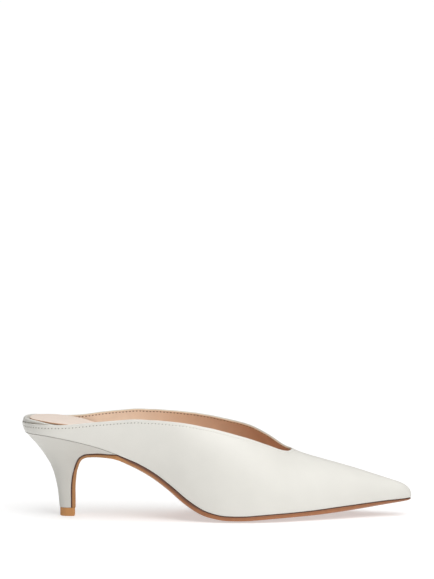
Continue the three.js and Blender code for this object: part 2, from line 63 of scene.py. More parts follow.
# The last, in millimetres
LENGTH = 260.0
BALL_WIDTH = 77.0
SEAT_WIDTH = 51.0
SEAT_HEIGHT = 57.6
TOE_SPRING = 7.6
VAMP_RISE = 37.8
THROAT = 180.5
TIP_SWING = 2.4
BACK_SET = 1.7
SEAT_ROUND = 24.0
TOE_ROUND = 6.5
TOE_CAP = 9.0
WALL = 1.8
GAP = 0.3
SOLE_TREAD = 4.2
SOLE_EDGE_LIFT = 1.35
SOLE_SET_IN = 0.4
INSOLE_SEAT = 9.2
INSOLE_SIDE_GAP = 0.5
INSOLE_LIFT = 0.2
INSOLE_SHORT = 11.0
RIM_SET = 0.7
RIM_REACH = 9.0
RIM_FADE = 24.0
RIM_RISE = 1.6
RIM_TOP = 1.6
RIM_ROUND = 0.7
SOCK = 1.1
SOCK_BORDER = 0.5
SOCK_SHORT = 17.0
SOCK_BACK = 1.0  # more of the white rim shows behind the sock
SEAT_END = 63.0
HEEL_TIP_BACK = 24.8
HEEL_TIP_BREAST = 32.5
HEEL_TIP_WIDTH = 9.8
TOP_PIECE_HEIGHT = 5.4
TOP_PIECE_ROUND = 1.6
TOP_PIECE_SET_IN = 0.3  # its sides lie inside the heel's
FLAP = 2.5

TREAD_TOP = SOLE_TREAD + GAP
HEEL_BOTTOM = TOP_PIECE_HEIGHT + GAP
SEAT_POWER, TOE_POWER = 2.3, 2  # powers of the outline's two round ends
TOE_POLE = LENGTH - TOE_CAP
SEAT_CENTRE = BACK_SET + SEAT_ROUND
OUTER, INNER = -1.0, 1.0
SIDES = (OUTER, INNER)
SHARE_STEP = 0.01  # small step of a share, which gives a slope
HALVINGS = 30  # how often a section is halved to find a height on it

# Where x = 0, y = 0 of the last lies in the frame, found from the top piece
TIP_LOW, TIP_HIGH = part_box("top_piece")
ORIGIN = np.array([TIP_LOW.x - HEEL_TIP_BACK * MM, (TIP_LOW.y + TIP_HIGH.y) / 2, 0.0])


def table(names, rows):
    """Named columns of numbers from rows of them."""
    return dict(zip(names.split(), np.array(rows, float).T))


# The feather line: share of the length, width, its two sides, height, spring, sole and insole.
# A fitting script worked out seat, spring and sole from rises read off the photograph's outline.
# The sole was then thinned at the shank and the toe.
FEATHER = table("along ball outer inner seat spring sole insole", [
    (0, 0, 0.5, 0.5, 1, 0, 0.731, 0.836),
    (0.052, 0, 0.5, 0.5, 0.9886, 0, 0.731, 0.822),
    (0.095, 0, 0.5, 0.5, 0.9566, 0, 0.731, 0.905),
    (0.127, 0, 0.5, 0.498, 0.9225, 0, 0.737, 0.98),
    (0.16, 0.02, 0.49, 0.475, 0.8838, 0, 0.759, 1.008),
    (0.192, 0.07, 0.47, 0.44, 0.8401, 0, 0.79, 0.968),
    (0.227, 0.15, 0.445, 0.4, 0.7804, 0, 0.867, 0.93),
    (0.26, 0.26, 0.423, 0.357, 0.7149, 0, 1.0, 0.84),
    (0.3, 0.4, 0.405, 0.32, 0.6301, 0, 1.037, 0.72),
    (0.343, 0.55, 0.4, 0.302, 0.5092, 0, 1.042, 0.6),
    (0.384, 0.68, 0.412, 0.315, 0.358, 0, 1.021, 0.5),
    (0.425, 0.8, 0.437, 0.355, 0.1935, 0, 1.07, 0.44),
    (0.466, 0.9, 0.461, 0.409, 0.0701, 0, 1.08, 0.4),
    (0.505, 0.97, 0.478, 0.453, 0.0132, 0, 1.007, 0.38),
    (0.532, 0.99, 0.486, 0.477, 0.001, 0, 1.014, 0.38),
    (0.572, 1, 0.489, 0.502, 0, 0.005, 1.01, 0.38),
    (0.606, 1, 0.48, 0.511, 0, 0.081, 1.03, 0.38),
    (0.64, 1, 0.46, 0.504, 0, 0.151, 1.016, 0.38),
    (0.69, 1, 0.41, 0.47, 0, 0.224, 1.001, 0.38),
    (0.75, 1, 0.335, 0.408, 0, 0.334, 1.012, 0.38),
    (0.81, 1, 0.255, 0.335, 0, 0.512, 1.017, 0.38),
    (0.87, 1, 0.176, 0.258, 0, 0.684, 0.895, 0.38),
    (0.93, 1, 0.096, 0.174, 0, 0.844, 0.69, 0.36),
    (1, 1, 0.02, 0.07, 0, 0.987, 0.34, 0.34),
])

# The walls: share of the length, ridge height, outward slopes and the reach of the two handles
WALLS = table("along crown flare_outer flare_inner foot dome", [
    (0.0, 0.75, 0.5, 0.5, 0.45, 0.75),
    (0.1, 0.85, 0.34, 0.34, 0.45, 0.85),
    (0.2, 1.25, 0.33, 0.33, 0.45, 0.95),
    (0.3, 1.7, 0.28, 0.44, 0.47, 1.0),
    (0.4, 1.85, 0.2, 0.3, 0.52, 1.0),
    (0.5, 1.85, 0.08, 0.1, 0.58, 0.95),
    (0.57, 1.641, 0.06, 0.06, 0.6, 0.82),
    (0.63, 1.352, 0.06, 0.06, 0.58, 0.68),
    (0.675, 1.105, 0.08, 0.08, 0.56, 0.58),
    (0.712, 0.962, 0.1, 0.1, 0.55, 0.52),
    (0.77, 0.812, 0.12, 0.12, 0.55, 0.5),
    (0.85, 0.608, 0.12, 0.12, 0.55, 0.52),
    (0.92, 0.417, 0.12, 0.12, 0.55, 0.56),
    (1.0, 0.205, 0.12, 0.12, 0.55, 0.6),
])

# The topline: share of the way to the throat, and where it cuts each side's section. A fitting
# script solved both columns so that the crests meet those in the photograph. Rows 0.3075 to 0.43,
# 0.974 and 0.99 were then set one by one.
TOPLINE = table("along outer inner", [
    (0, 0.15, 0.15),
    (0.0305, 0.165, 0.165),
    (0.082, 0.173, 0.173),
    (0.1435, 0.204, 0.209),
    (0.2255, 0.246, 0.244),
    (0.3075, 0.282, 0.292),
    (0.3895, 0.316, 0.327),
    (0.43, 0.3325, 0.3445),
    (0.4715, 0.356, 0.369),
    (0.5175, 0.399, 0.413),
    (0.5607, 0.45, 0.466),
    (0.6028, 0.506, 0.525),
    (0.6449, 0.548, 0.575),
    (0.687, 0.575, 0.608),
    (0.7285, 0.586, 0.623),
    (0.7717, 0.595, 0.644),
    (0.8139, 0.611, 0.681),
    (0.856, 0.631, 0.721),
    (0.8981, 0.662, 0.758),
    (0.9391, 0.71, 0.79),
    (0.974, 0.784, 0.822),
    (0.99, 0.86, 0.88),
    (1, 1, 1),
])

# The heel from its lower end to the seat: the breast's edge, the back line, girth and roundness
HEEL_ROWS = table("out up spread back_out back_up girth round", [
    (0.0, 0.0, 0.0, 0.0, 0.0, 0.0, 1),
    (0.0, 0.192, 0.017, 0.03, 0.142, 0.024, 1),
    (0.004, 0.378, 0.045, 0.074, 0.284, 0.063, 1),
    (0.036, 0.622, 0.1, 0.16, 0.444, 0.136, 1),
    (0.085, 0.765, 0.158, 0.251, 0.554, 0.228, 1),
    (0.124, 0.843, 0.21, 0.318, 0.609, 0.291, 0.97),
    (0.182, 0.91, 0.294, 0.395, 0.667, 0.374, 0.92),
    (0.258, 0.955, 0.395, 0.484, 0.726, 0.471, 0.84),
    (0.345, 0.985, 0.497, 0.577, 0.784, 0.578, 0.73),
    (0.441, 0.997, 0.605, 0.675, 0.839, 0.675, 0.59),
    (0.62, 1.011, 0.763, 0.797, 0.901, 0.796, 0.38),
    (0.833, 1.002, 0.915, 0.911, 0.959, 0.908, 0.17),
    (1.0, 1.0, 1.0, 1.0, 1.0, 1.0, 0),
])


# The last


def stack(x, y, z):
    """Points from their three coordinates."""
    return np.stack(np.broadcast_arrays(x, y, z), axis=-1).astype(float)


def mix(a, b, share):
    """From a to b: a plus a share of the way between them."""
    return a + (b - a) * share


def ease(share):
    """A smooth step from 0 to 1: three squares less two cubes."""
    t = np.clip(share, 0, 1)
    return t * t * (3 - 2 * t)


def unit(vectors):
    """Vectors divided by their own lengths."""
    return vectors / np.maximum(np.linalg.norm(vectors, axis=-1, keepdims=True), 1e-12)


def column(columns, name, along):
    """A column read at shares along its table: cubics through the rows, each with the slope of its
    two neighbours."""
    key, value = columns["along"], columns[name]
    row = np.arange(len(key))
    before, after = np.maximum(row - 1, 0), np.minimum(row + 1, len(key) - 1)
    slope = (value[after] - value[before]) / (key[after] - key[before])
    i = np.clip(np.searchsorted(key, along) - 1, 0, len(key) - 2)
    span = key[i + 1] - key[i]
    t = np.clip((along - key[i]) / span, 0, 1)
    return (
        (2 * t**3 - 3 * t**2 + 1) * value[i]
        + (t**3 - 2 * t**2 + t) * span * slope[i]
        + (3 * t**2 - 2 * t**3) * value[i + 1]
        + (t**3 - t**2) * span * slope[i + 1]
    )


def feather_height(x):
    """Height of the feather line: the tread, plus the seat's share and the toe's spring."""
    seat, spring = column(FEATHER, "seat", x / LENGTH), column(FEATHER, "spring", x / LENGTH)
    return TREAD_TOP + seat * (SEAT_HEIGHT - TREAD_TOP) + spring * TOE_SPRING


def round_end(distance, length, power):
    """0 at the end of an outline and 1 past its round stretch, along a superellipse: one less the
    way left raised to a power, and the same root of that."""
    left = 1 - np.clip(distance / length, 0, 1)
    return np.maximum(1 - left**power, 0) ** (1 / power)


def feather(x, side):
    """The feather line: half the width at x to one side of its middle, rounded at both ends."""
    along = x / LENGTH
    width = mix(SEAT_WIDTH, BALL_WIDTH, column(FEATHER, "ball", along))
    outer = column(FEATHER, "outer", along) * width
    inner = column(FEATHER, "inner", along) * width
    rounded = round_end(x - BACK_SET, SEAT_ROUND, SEAT_POWER) * round_end(LENGTH - x, TOE_ROUND, TOE_POWER)
    y = (inner - outer) / 2 + side * rounded * (inner + outer) / 2
    return stack(x, y, feather_height(x))


def ridge(x):
    """The ridge of the last over x. Both ends of the shoe share the last ridge point beside them."""
    at = np.clip(x, SEAT_CENTRE, TOE_POLE)
    rise = column(WALLS, "crown", at / LENGTH) * VAMP_RISE
    return stack(at, TIP_SWING * ease(at / LENGTH), feather_height(at) + rise)


def surface(x, side, share):
    """The outside of the last: a cubic curve in each section, from the feather line (share 0), which
    it leaves at the wall's slope, to the ridge (share 1), which it meets level."""
    x, side, share = np.broadcast_arrays(*(np.asarray(v, float) for v in (x, side, share)))
    along = x / LENGTH
    start, end = feather(x, side), ridge(x)
    across = start[..., :2] - end[..., :2]
    reach = np.hypot(across[..., 0], across[..., 1])
    across = across / np.maximum(reach, 1e-9)[..., None]
    outer, inner = column(WALLS, "flare_outer", along), column(WALLS, "flare_inner", along)
    flare = np.where(side < 0, outer, inner)
    up = column(WALLS, "foot", along) * (end[..., 2] - start[..., 2])
    slope = (ridge(end[..., 0] + 1)[..., 2] - ridge(end[..., 0] - 1)[..., 2]) / 2
    falling = np.where(end[..., 0] >= TOE_POLE, 2 * slope, slope)
    handle = column(WALLS, "dome", along) * reach
    lower = start + stack(across[..., 0] * flare * up, across[..., 1] * flare * up, up)
    upper = end + handle[..., None] * stack(across[..., 0], across[..., 1], falling * across[..., 0])
    s = share[..., None]
    return (1 - s) ** 3 * start + 3 * (1 - s) ** 2 * s * lower + 3 * (1 - s) * s**2 * upper + s**3 * end


def cut_share(x, side):
    """Where the topline cuts a section, and 1 in front of the throat."""
    share = column(TOPLINE, "outer" if side < 0 else "inner", x / THROAT)
    return np.where(x >= THROAT, 1.0, share)


def stretch(start, end, pitch):
    """Even steps from start up to, and without, end."""
    return np.linspace(start, end, max(1, math.ceil((end - start) / pitch)), endpoint=False)


def make_stations(pitch, seat_steps, toe_steps, apex=12.0, apex_pitch=0.6):
    """Places along the shoe: closer together round the seat, at the throat and round the tip."""
    seat = SEAT_CENTRE - SEAT_ROUND * np.cos(np.linspace(0, np.pi / 2, seat_steps, endpoint=False))
    toe = TOE_POLE + TOE_CAP * np.sin(np.linspace(0, np.pi / 2, toe_steps + 1))
    parts = [
        seat,
        stretch(SEAT_CENTRE, SEAT_END, pitch),
        stretch(SEAT_END, THROAT - apex, pitch),
        stretch(THROAT - apex, THROAT, apex_pitch),
        stretch(THROAT, THROAT + apex, apex_pitch),
        stretch(THROAT + apex, TOE_POLE, pitch),
        toe,
    ]
    return np.concatenate(parts)


STATIONS = make_stations(pitch=1.4, seat_steps=26, toe_steps=16)
THROAT_AT = int(np.argmin(np.abs(STATIONS - THROAT)))


def outline_outward(x, side):
    """The outward direction of the feather line in plan, from the places before and after."""
    before = np.concatenate([feather(x[1:2], -side), feather(x[:-1], side)])
    ends_at_tip = abs(x[-1] - LENGTH) < 1e-6
    last = feather(x[-2:-1], -side) if ends_at_tip else feather(x[-1:] + 1, side)
    run = np.concatenate([feather(x[1:], side), last]) - before
    return unit(stack(-side * run[:, 1], side * run[:, 0], 0 * run[:, 0]))


def wall_point(x, side, height, inset):
    """The place on a section at a height over the feather line, found by halving the curve again and
    again, then moved in from the outside in plan. height and inset have a row for each layer."""
    height, inset = np.broadcast_arrays(height, inset)
    floor = feather_height(x)
    low, high = np.zeros(height.shape), np.ones(height.shape)
    for _ in range(HALVINGS):
        middle = (low + high) / 2
        under = surface(x, side, middle)[..., 2] - floor < height
        low, high = np.where(under, middle, low), np.where(under, high, middle)
    point = surface(x, side, low) - inset[..., None] * outline_outward(x, side)
    point[..., 2] = floor + height
    return point


# Meshes


def grid_faces(rows, columns, start):
    """Quads between the points of a grid that is numbered row by row."""
    index = start + np.arange(rows * columns).reshape(rows, columns)
    corners = [index[:-1, :-1], index[1:, :-1], index[1:, 1:], index[:-1, 1:]]
    return np.stack(corners, axis=-1).reshape(-1, 4)


def gather(grids):
    """Several grids as one list of points and one of quads."""
    starts = np.cumsum([0] + [g.shape[0] * g.shape[1] for g in grids])
    faces = [grid_faces(*g.shape[:2], start) for g, start in zip(grids, starts)]
    return np.concatenate([g.reshape(-1, 3) for g in grids]), np.concatenate(faces)


def weld(points, size=1e-3):
    """Points closer than size become one: the first of each, and every point's new number."""
    cells = np.rint(points / size).astype(np.int64)
    _, first, number = np.unique(cells, axis=0, return_index=True, return_inverse=True)
    return first, number.reshape(-1)


def grid_normals(grids, sides):
    """Outward directions at the points of grids that make one surface: the sum of the crossed
    diagonals of the quads round each point. The grids run the same way along both sides of the
    shoe, so the crossed diagonals of one side point out and those of the other point in."""
    points, quads = gather(grids)
    _, number = weld(points)
    turn = np.repeat(sides, [(g.shape[0] - 1) * (g.shape[1] - 1) for g in grids])[:, None]
    a, b, c, d = (points[quads[:, k]] for k in range(4))
    crossed = np.cross(c - a, d - b) * turn
    total = np.zeros((number.max() + 1, 3))
    for k in range(4):
        np.add.at(total, number[quads[:, k]], crossed)
    normals = unit(total)[number]
    if np.sum(normals * (points - points.mean(axis=0))) < 0:
        normals = -normals
    ends = np.cumsum([g.shape[0] * g.shape[1] for g in grids])[:-1]
    return [n.reshape(g.shape) for n, g in zip(np.split(normals, ends), grids)]


def without_repeats(quads):
    """Quads with four corners, and the triangles that are left of those with three."""
    same = quads == np.roll(quads, -1, axis=1)
    crossed = (quads[:, 0] == quads[:, 2]) | (quads[:, 1] == quads[:, 3])
    count = same.sum(axis=1)
    whole = quads[(count == 0) & ~crossed]
    part = (count == 1) & ~crossed
    pick = (np.argmax(same[part], axis=1)[:, None] + np.array([1, 2, 3])) % 4
    return whole, np.take_along_axis(quads[part], pick, axis=1)


def add_piece(name, grids, material, replaces=None, values=None):
    """A closed piece from its grids, in the frame's metres, with smooth faces that point out. values
    maps an attribute's name to one array of numbers for each grid."""
    points, quads = gather(grids)
    first, number = weld(points)
    whole, part = without_repeats(number[quads])
    mesh = bpy.data.meshes.new(name)
    places = points[first] * MM + ORIGIN
    mesh.from_pydata(places.tolist(), [], whole.tolist() + part.tolist())
    shape = bmesh.new()
    shape.from_mesh(mesh)
    bmesh.ops.recalc_face_normals(shape, faces=shape.faces)
    shape.to_mesh(mesh)
    shape.free()
    mesh.polygons.foreach_set("use_smooth", np.ones(len(mesh.polygons), bool))
    for label, arrays in (values or {}).items():
        data = np.concatenate([np.asarray(v, float).reshape(-1) for v in arrays])[first]
        mesh.attributes.new(label, "FLOAT", "POINT").data.foreach_set("value", data)
    mesh.update()
    mesh.materials.append(material)
    piece = bpy.data.objects.new(name, mesh)
    bpy.context.scene.collection.objects.link(piece)
    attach(piece, "root")
    if replaces:
        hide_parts(replaces)
    return piece


def strip(left, right):
    """A band between two lines of points."""
    return np.stack([left, right], axis=1)


def closed(line):
    """A loop of points with its first one repeated at the end."""
    return np.concatenate([line, line[:1]])


def quarter(steps):
    """Even angles over a quarter turn."""
    return np.linspace(0, np.pi / 2, steps)


# Materials


def linear(code):
    """Linear colour of an sRGB hex code."""
    value = np.array([int(code[k:k + 2], 16) for k in (0, 2, 4)]) / 255
    flat = np.where(value <= 0.04045, value / 12.92, ((value + 0.055) / 1.055) ** 2.4)
    return tuple(float(v) for v in flat)


def node(tree, kind, inputs=None, **settings):
    """Adds one node: its own settings, then each input's value or the output that feeds it."""
    made = tree.nodes.new(kind)
    for name, value in settings.items():
        setattr(made, name, value)
    for name, value in (inputs or {}).items():
        if isinstance(value, bpy.types.NodeSocket):
            tree.links.new(value, made.inputs[name])
        else:
            made.inputs[name].default_value = value
    return made


def start_material(name):
    """An empty node material with its output."""
    material = bpy.data.materials.get(name) or bpy.data.materials.new(name)
    material.use_nodes = True
    material.node_tree.nodes.clear()
    return material, material.node_tree


def ramp(tree, fac, stops):
    """A colour ramp through (place, colour) stops."""
    made = node(tree, "ShaderNodeValToRGB", {"Fac": fac})
    elements = made.color_ramp.elements
    while len(elements) < len(stops):
        elements.new(0.5)
    for element, (place, colour) in zip(elements, stops):
        element.position = place
        element.color = (*colour[:3], 1)
    return made.outputs["Color"]


def shaded(colour, factor):
    """A colour times a factor, with no channel over 1."""
    return tuple(min(1.0, c * factor) for c in colour[:3])


def finished(tree, bsdf):
    """Joins the shader to the material's output."""
    node(tree, "ShaderNodeOutputMaterial", {"Surface": bsdf.outputs["BSDF"]})


def nappa(name, colour, roughness, grain_height):
    """Smooth nappa leather, dyed and given a thin satin finish. It shows as an even colour with a
    faint mottle, a fine pebble and a soft highlight."""
    material, tree = start_material(name)
    place = node(tree, "ShaderNodeTexCoord").outputs["Object"]
    # The dye takes a little unevenly over patches of about 14 mm.
    mottle = node(tree, "ShaderNodeTexNoise", {"Vector": place, "Scale": 1 / 0.014, "Detail": 3.0})
    base = ramp(tree, mottle.outputs["Fac"], [(0.3, shaded(colour, 0.972)), (0.7, shaded(colour, 1.0))])
    # Real nappa grain is 0.3 mm. It is drawn at 1.1 mm, because finer grain doesn't show.
    grain = node(tree, "ShaderNodeTexVoronoi", {"Vector": place, "Scale": 1 / 0.0011}, feature="SMOOTH_F1")
    soft = node(tree, "ShaderNodeTexNoise", {"Vector": place, "Scale": 1 / 0.0045, "Detail": 2.0})
    height = node(
        tree, "ShaderNodeMath",
        {0: grain.outputs["Distance"], 1: soft.outputs["Fac"]}, operation="ADD",
    )
    bump = node(
        tree, "ShaderNodeBump",
        {"Height": height.outputs[0], "Strength": 0.35, "Distance": grain_height * MM},
    )
    gloss = node(
        tree, "ShaderNodeMapRange",
        {"Value": soft.outputs["Fac"], "To Min": roughness - 0.03, "To Max": roughness + 0.04},
    )
    bsdf = node(tree, "ShaderNodeBsdfPrincipled", {
        "Base Color": base, "Roughness": gloss.outputs[0], "Normal": bump.outputs["Normal"],
        "IOR": 1.5, "Coat Weight": 0.12, "Coat Roughness": 0.38, "Coat IOR": 1.45,
    })
    finished(tree, bsdf)
    return material


def lining_leather(colours):
    """Tan pigskin, lightly finished. It shows as a warm matt colour with small pores."""
    material, tree = start_material("tan_pigskin_lining")
    place = node(tree, "ShaderNodeTexCoord").outputs["Object"]
    cloud = node(tree, "ShaderNodeTexNoise", {"Vector": place, "Scale": 1 / 0.009, "Detail": 4.0})
    # Painted light and shade: the hide is painted paler behind, and darker toward the throat, where shade
    # falls inside the upper.
    across = node(tree, "ShaderNodeSeparateXYZ", {"Vector": place}).outputs["X"]
    way = node(
        tree, "ShaderNodeMapRange",
        {"Value": across, "From Min": -0.065, "From Max": 0.03, "To Min": 0.0, "To Max": 1.0},
    )
    lit_and_shaded_hide = ramp(tree, way.outputs[0], [
        (0.0, colours.lining_lit_back), (0.42, colours.lining), (1.0, colours.lining_shaded_throat),
    ])
    patches = ramp(tree, cloud.outputs["Fac"], [(0.3, (0.93,) * 3), (0.7, (1.0,) * 3)])
    face = node(
        tree, "ShaderNodeMix",
        {"Factor": 1.0, "A": lit_and_shaded_hide, "B": patches}, data_type="RGBA", blend_type="MULTIPLY",
    ).outputs["Result"]
    # The skived top edge is paler than the face for 0.9 mm.
    below = node(tree, "ShaderNodeAttribute", attribute_name="below_topline").outputs["Fac"]
    edge = node(
        tree, "ShaderNodeMapRange",
        {"Value": below, "From Min": 0.7, "From Max": 1.1, "To Min": 1.0, "To Max": 0.0},
    )
    whole = node(
        tree, "ShaderNodeMix",
        {"Factor": edge.outputs[0], "A": face, "B": (*colours.lining_edge, 1)}, data_type="RGBA",
    )
    base = whole.outputs["Result"]
    # Pigskin pores stand in threes. Here they are single and 1.3 mm apart, so that they show.
    pores = node(tree, "ShaderNodeTexVoronoi", {"Vector": place, "Scale": 1 / 0.0013})
    pit = ramp(tree, pores.outputs["Distance"], [(0.0, (0, 0, 0)), (0.22, (1, 1, 1))])
    tone = node(
        tree, "ShaderNodeMix",
        {"Factor": 0.12, "A": base, "B": pit}, data_type="RGBA", blend_type="MULTIPLY",
    )
    bump = node(
        tree, "ShaderNodeBump", {"Height": pit, "Strength": 0.3, "Distance": 0.06 * MM},
    )
    bsdf = node(tree, "ShaderNodeBsdfPrincipled", {
        "Base Color": tone.outputs["Result"], "Roughness": 0.58, "Normal": bump.outputs["Normal"],
        "IOR": 1.5,
    })
    finished(tree, bsdf)
    return material


def sock_leather(colours):
    """Beige sheepskin sock, buffed matt over thin foam. Its cut edge is raw brown leather."""
    material, tree = start_material("beige_sheepskin_sock")
    place = node(tree, "ShaderNodeTexCoord").outputs["Object"]
    cloud = node(tree, "ShaderNodeTexNoise", {"Vector": place, "Scale": 1 / 0.018, "Detail": 4.0})
    colour = colours.sock
    face = ramp(tree, cloud.outputs["Fac"], [(0.3, shaded(colour, 0.95)), (0.7, shaded(colour, 1.0))])
    edge = node(tree, "ShaderNodeAttribute", attribute_name="cut_edge")
    base = node(
        tree, "ShaderNodeMix",
        {"Factor": edge.outputs["Fac"], "A": face, "B": (*colours.sock_edge, 1)}, data_type="RGBA",
    )
    # The nap's specks are 0.4 mm and are drawn at 0.9 mm so that they show.
    nap = node(tree, "ShaderNodeTexNoise", {"Vector": place, "Scale": 1 / 0.0009, "Detail": 2.0})
    bump = node(
        tree, "ShaderNodeBump",
        {"Height": nap.outputs["Fac"], "Strength": 0.35, "Distance": 0.08 * MM},
    )
    bsdf = node(tree, "ShaderNodeBsdfPrincipled", {
        "Base Color": base.outputs["Result"], "Roughness": 0.66, "Normal": bump.outputs["Normal"],
        "IOR": 1.5, "Sheen Weight": 0.15, "Sheen Roughness": 0.5,
    })
    finished(tree, bsdf)
    return material


def sole_leather(colours):
    """Tan sole leather, pressed and waxed. Its trimmed edge is dark along the top, edge ink with painted
    shade from the upper, and below that shows two layers with a fine line between them."""
    material, tree = start_material("tan_sole_leather")
    place = node(tree, "ShaderNodeTexCoord").outputs["Object"]
    depth = node(tree, "ShaderNodeAttribute", attribute_name="edge_depth").outputs["Fac"]
    sole, ink_and_shade = colours.sole, colours.sole_ink_and_shade
    # edge_depth runs in millimetres down the edge, and is read over 4 mm.
    share = node(tree, "ShaderNodeMath", {0: depth, 1: 0.25}, operation="MULTIPLY").outputs[0]
    shade = ramp(tree, share, [
        (0.0, (0.9,) * 3), (0.3, (0.92,) * 3), (0.36, (0.8,) * 3), (0.42, (1.08,) * 3), (0.62, (1.06,) * 3),
        (1.0, (1.0,) * 3),
    ])
    # Painted shade: the dark band along the top of the edge is edge ink with the shade under the upper
    # painted into it, deeper along the shank.
    inked_and_shaded = ramp(tree, share, [(0.05, (1, 1, 1)), (0.15, (0, 0, 0))])
    # The heel's strip is yellower than the forepart, which is stained a redder brown.
    across = node(tree, "ShaderNodeSeparateXYZ", {"Vector": place}).outputs["X"]
    front = node(
        tree, "ShaderNodeMapRange",
        {"Value": across, "From Min": -0.075, "From Max": -0.015, "To Min": 0.0, "To Max": 1.0},
    )
    tan = node(
        tree, "ShaderNodeMix",
        {"Factor": front.outputs[0], "A": (*colours.sole_back, 1), "B": (*sole, 1)}, data_type="RGBA",
    )
    toned = node(
        tree, "ShaderNodeMix",
        {"Factor": 1.0, "A": tan.outputs["Result"], "B": shade}, data_type="RGBA", blend_type="MULTIPLY",
    )
    layers = node(
        tree, "ShaderNodeMix",
        {"Factor": inked_and_shaded, "A": toned.outputs["Result"], "B": (*ink_and_shade, 1)}, data_type="RGBA",
    ).outputs["Result"]
    fibre = node(tree, "ShaderNodeTexNoise", {"Vector": place, "Scale": 1 / 0.003, "Detail": 5.0})
    worn = ramp(tree, fibre.outputs["Fac"], [(0.3, (0.9, 0.88, 0.86)), (0.7, (1, 1, 1))])
    tone = node(
        tree, "ShaderNodeMix",
        {"Factor": 1.0, "A": layers, "B": worn}, data_type="RGBA", blend_type="MULTIPLY",
    )
    bump = node(
        tree, "ShaderNodeBump",
        {"Height": fibre.outputs["Fac"], "Strength": 0.3, "Distance": 0.07 * MM},
    )
    bsdf = node(tree, "ShaderNodeBsdfPrincipled", {
        "Base Color": tone.outputs["Result"], "Roughness": 0.45, "Normal": bump.outputs["Normal"],
        "IOR": 1.5, "Coat Weight": 0.15, "Coat Roughness": 0.3,
    })
    finished(tree, bsdf)
    return material


def top_piece_rubber(colours):
    """Tan polyurethane top piece, cast and ground level with the heel. It shows as an even colour
    with faint upright grinding marks."""
    material, tree = start_material("tan_polyurethane_top_piece")
    place = node(tree, "ShaderNodeTexCoord").outputs["Object"]
    # The marks are 0.5 mm apart round the piece and run its whole height.
    finer, taller = 1 / 0.0005, 1 / 0.006
    pulled = node(tree, "ShaderNodeMapping", {"Vector": place, "Scale": (finer, finer, taller)})
    marks = node(tree, "ShaderNodeTexNoise", {"Vector": pulled.outputs[0], "Scale": 1.0, "Detail": 2.0})
    colour = colours.top_piece
    base = ramp(tree, marks.outputs["Fac"], [(0.3, shaded(colour, 0.95)), (0.7, shaded(colour, 1.03))])
    bump = node(
        tree, "ShaderNodeBump",
        {"Height": marks.outputs["Fac"], "Strength": 0.3, "Distance": 0.04 * MM},
    )
    bsdf = node(tree, "ShaderNodeBsdfPrincipled", {
        "Base Color": base, "Roughness": 0.48, "Normal": bump.outputs["Normal"], "IOR": 1.5,
    })
    finished(tree, bsdf)
    return material


def thread_material(name, colour, roughness):
    """Twisted polyester thread. It shows as a soft strand a little brighter than the leather."""
    material, tree = start_material(name)
    place = node(tree, "ShaderNodeTexCoord").outputs["Object"]
    twist = node(tree, "ShaderNodeTexNoise", {"Vector": place, "Scale": 1 / 0.0005, "Detail": 1.0})
    base = ramp(tree, twist.outputs["Fac"], [(0.3, shaded(colour, 0.88)), (0.7, shaded(colour, 1.0))])
    bsdf = node(tree, "ShaderNodeBsdfPrincipled", {"Base Color": base, "Roughness": roughness, "IOR": 1.5})
    finished(tree, bsdf)
    return material


def hole_shadow_material(colours):
    """Painted shadow inside the needle holes. It is painted dark, and where the attribute closed is set it
    is painted nearly as light as the leather, as painted light where the row is brightly lit."""
    material, tree = start_material("needle_hole_shadow")
    lit_share = node(tree, "ShaderNodeAttribute", attribute_name="closed").outputs["Fac"]
    tone = node(
        tree, "ShaderNodeMix",
        {"Factor": lit_share, "A": (*colours.hole, 1), "B": (*colours.leather, 1)}, data_type="RGBA",
    )
    bsdf = node(tree, "ShaderNodeBsdfPrincipled", {
        "Base Color": tone.outputs["Result"], "Roughness": 0.9, "IOR": 1.5,
    })
    finished(tree, bsdf)
    return material


# Sizes and colours


def length_property(name, description, millimetres):
    """A length that a user can change, given in millimetres and kept in metres."""
    return bpy.props.FloatProperty(
        name=name, description=description, default=millimetres * MM, unit="LENGTH", precision=5,
    )


def colour_property(name, description, code):
    """A colour that a user can change, given as an sRGB hex code."""
    return bpy.props.FloatVectorProperty(
        name=name, description=description, default=linear(code), size=3, subtype="COLOR",
        min=0.0, max=1.0,
    )


class MuleSizes(bpy.types.PropertyGroup):
    """Sizes of what the leather work adds to the solids."""

    leather: length_property("Leather", "Thickness of the white leather of the upper", 1.0)
    lining: length_property("Lining", "Thickness of the tan lining", 0.65)
    lining_drop: length_property("Lining drop", "Top of the lining below the turned edge", 0.35)
    lining_row: length_property("Lining row depth", "Stitches on the lining below the topline", 1.7)
    bottom_round: length_property("Lasted edge", "Radius of the upper where it turns under", 0.65)
    row_depth: length_property("Stitch row depth", "Stitches below the topline", 2.3)
    groove: length_property("Stitch groove", "Depth that the stitches pull into the leather", 0.14)
    pitch: length_property("Stitch pitch", "Length of one stitch and its gap", 2.3)
    stitch: length_property("Stitch length", "Length of thread that shows", 1.6)
    thread: length_property("Thread", "Radius of the sewing thread", 0.2)
    sock_crown: length_property("Sock crown", "Rise of the padded sock across its middle", 0.5)
    edge_round: length_property("Heel cover edge", "Radius of the heel cover's breast edges", 0.5)
    seat_round: length_property("Heel seat edge", "Radius of the heel cover's top edge", 0.5)


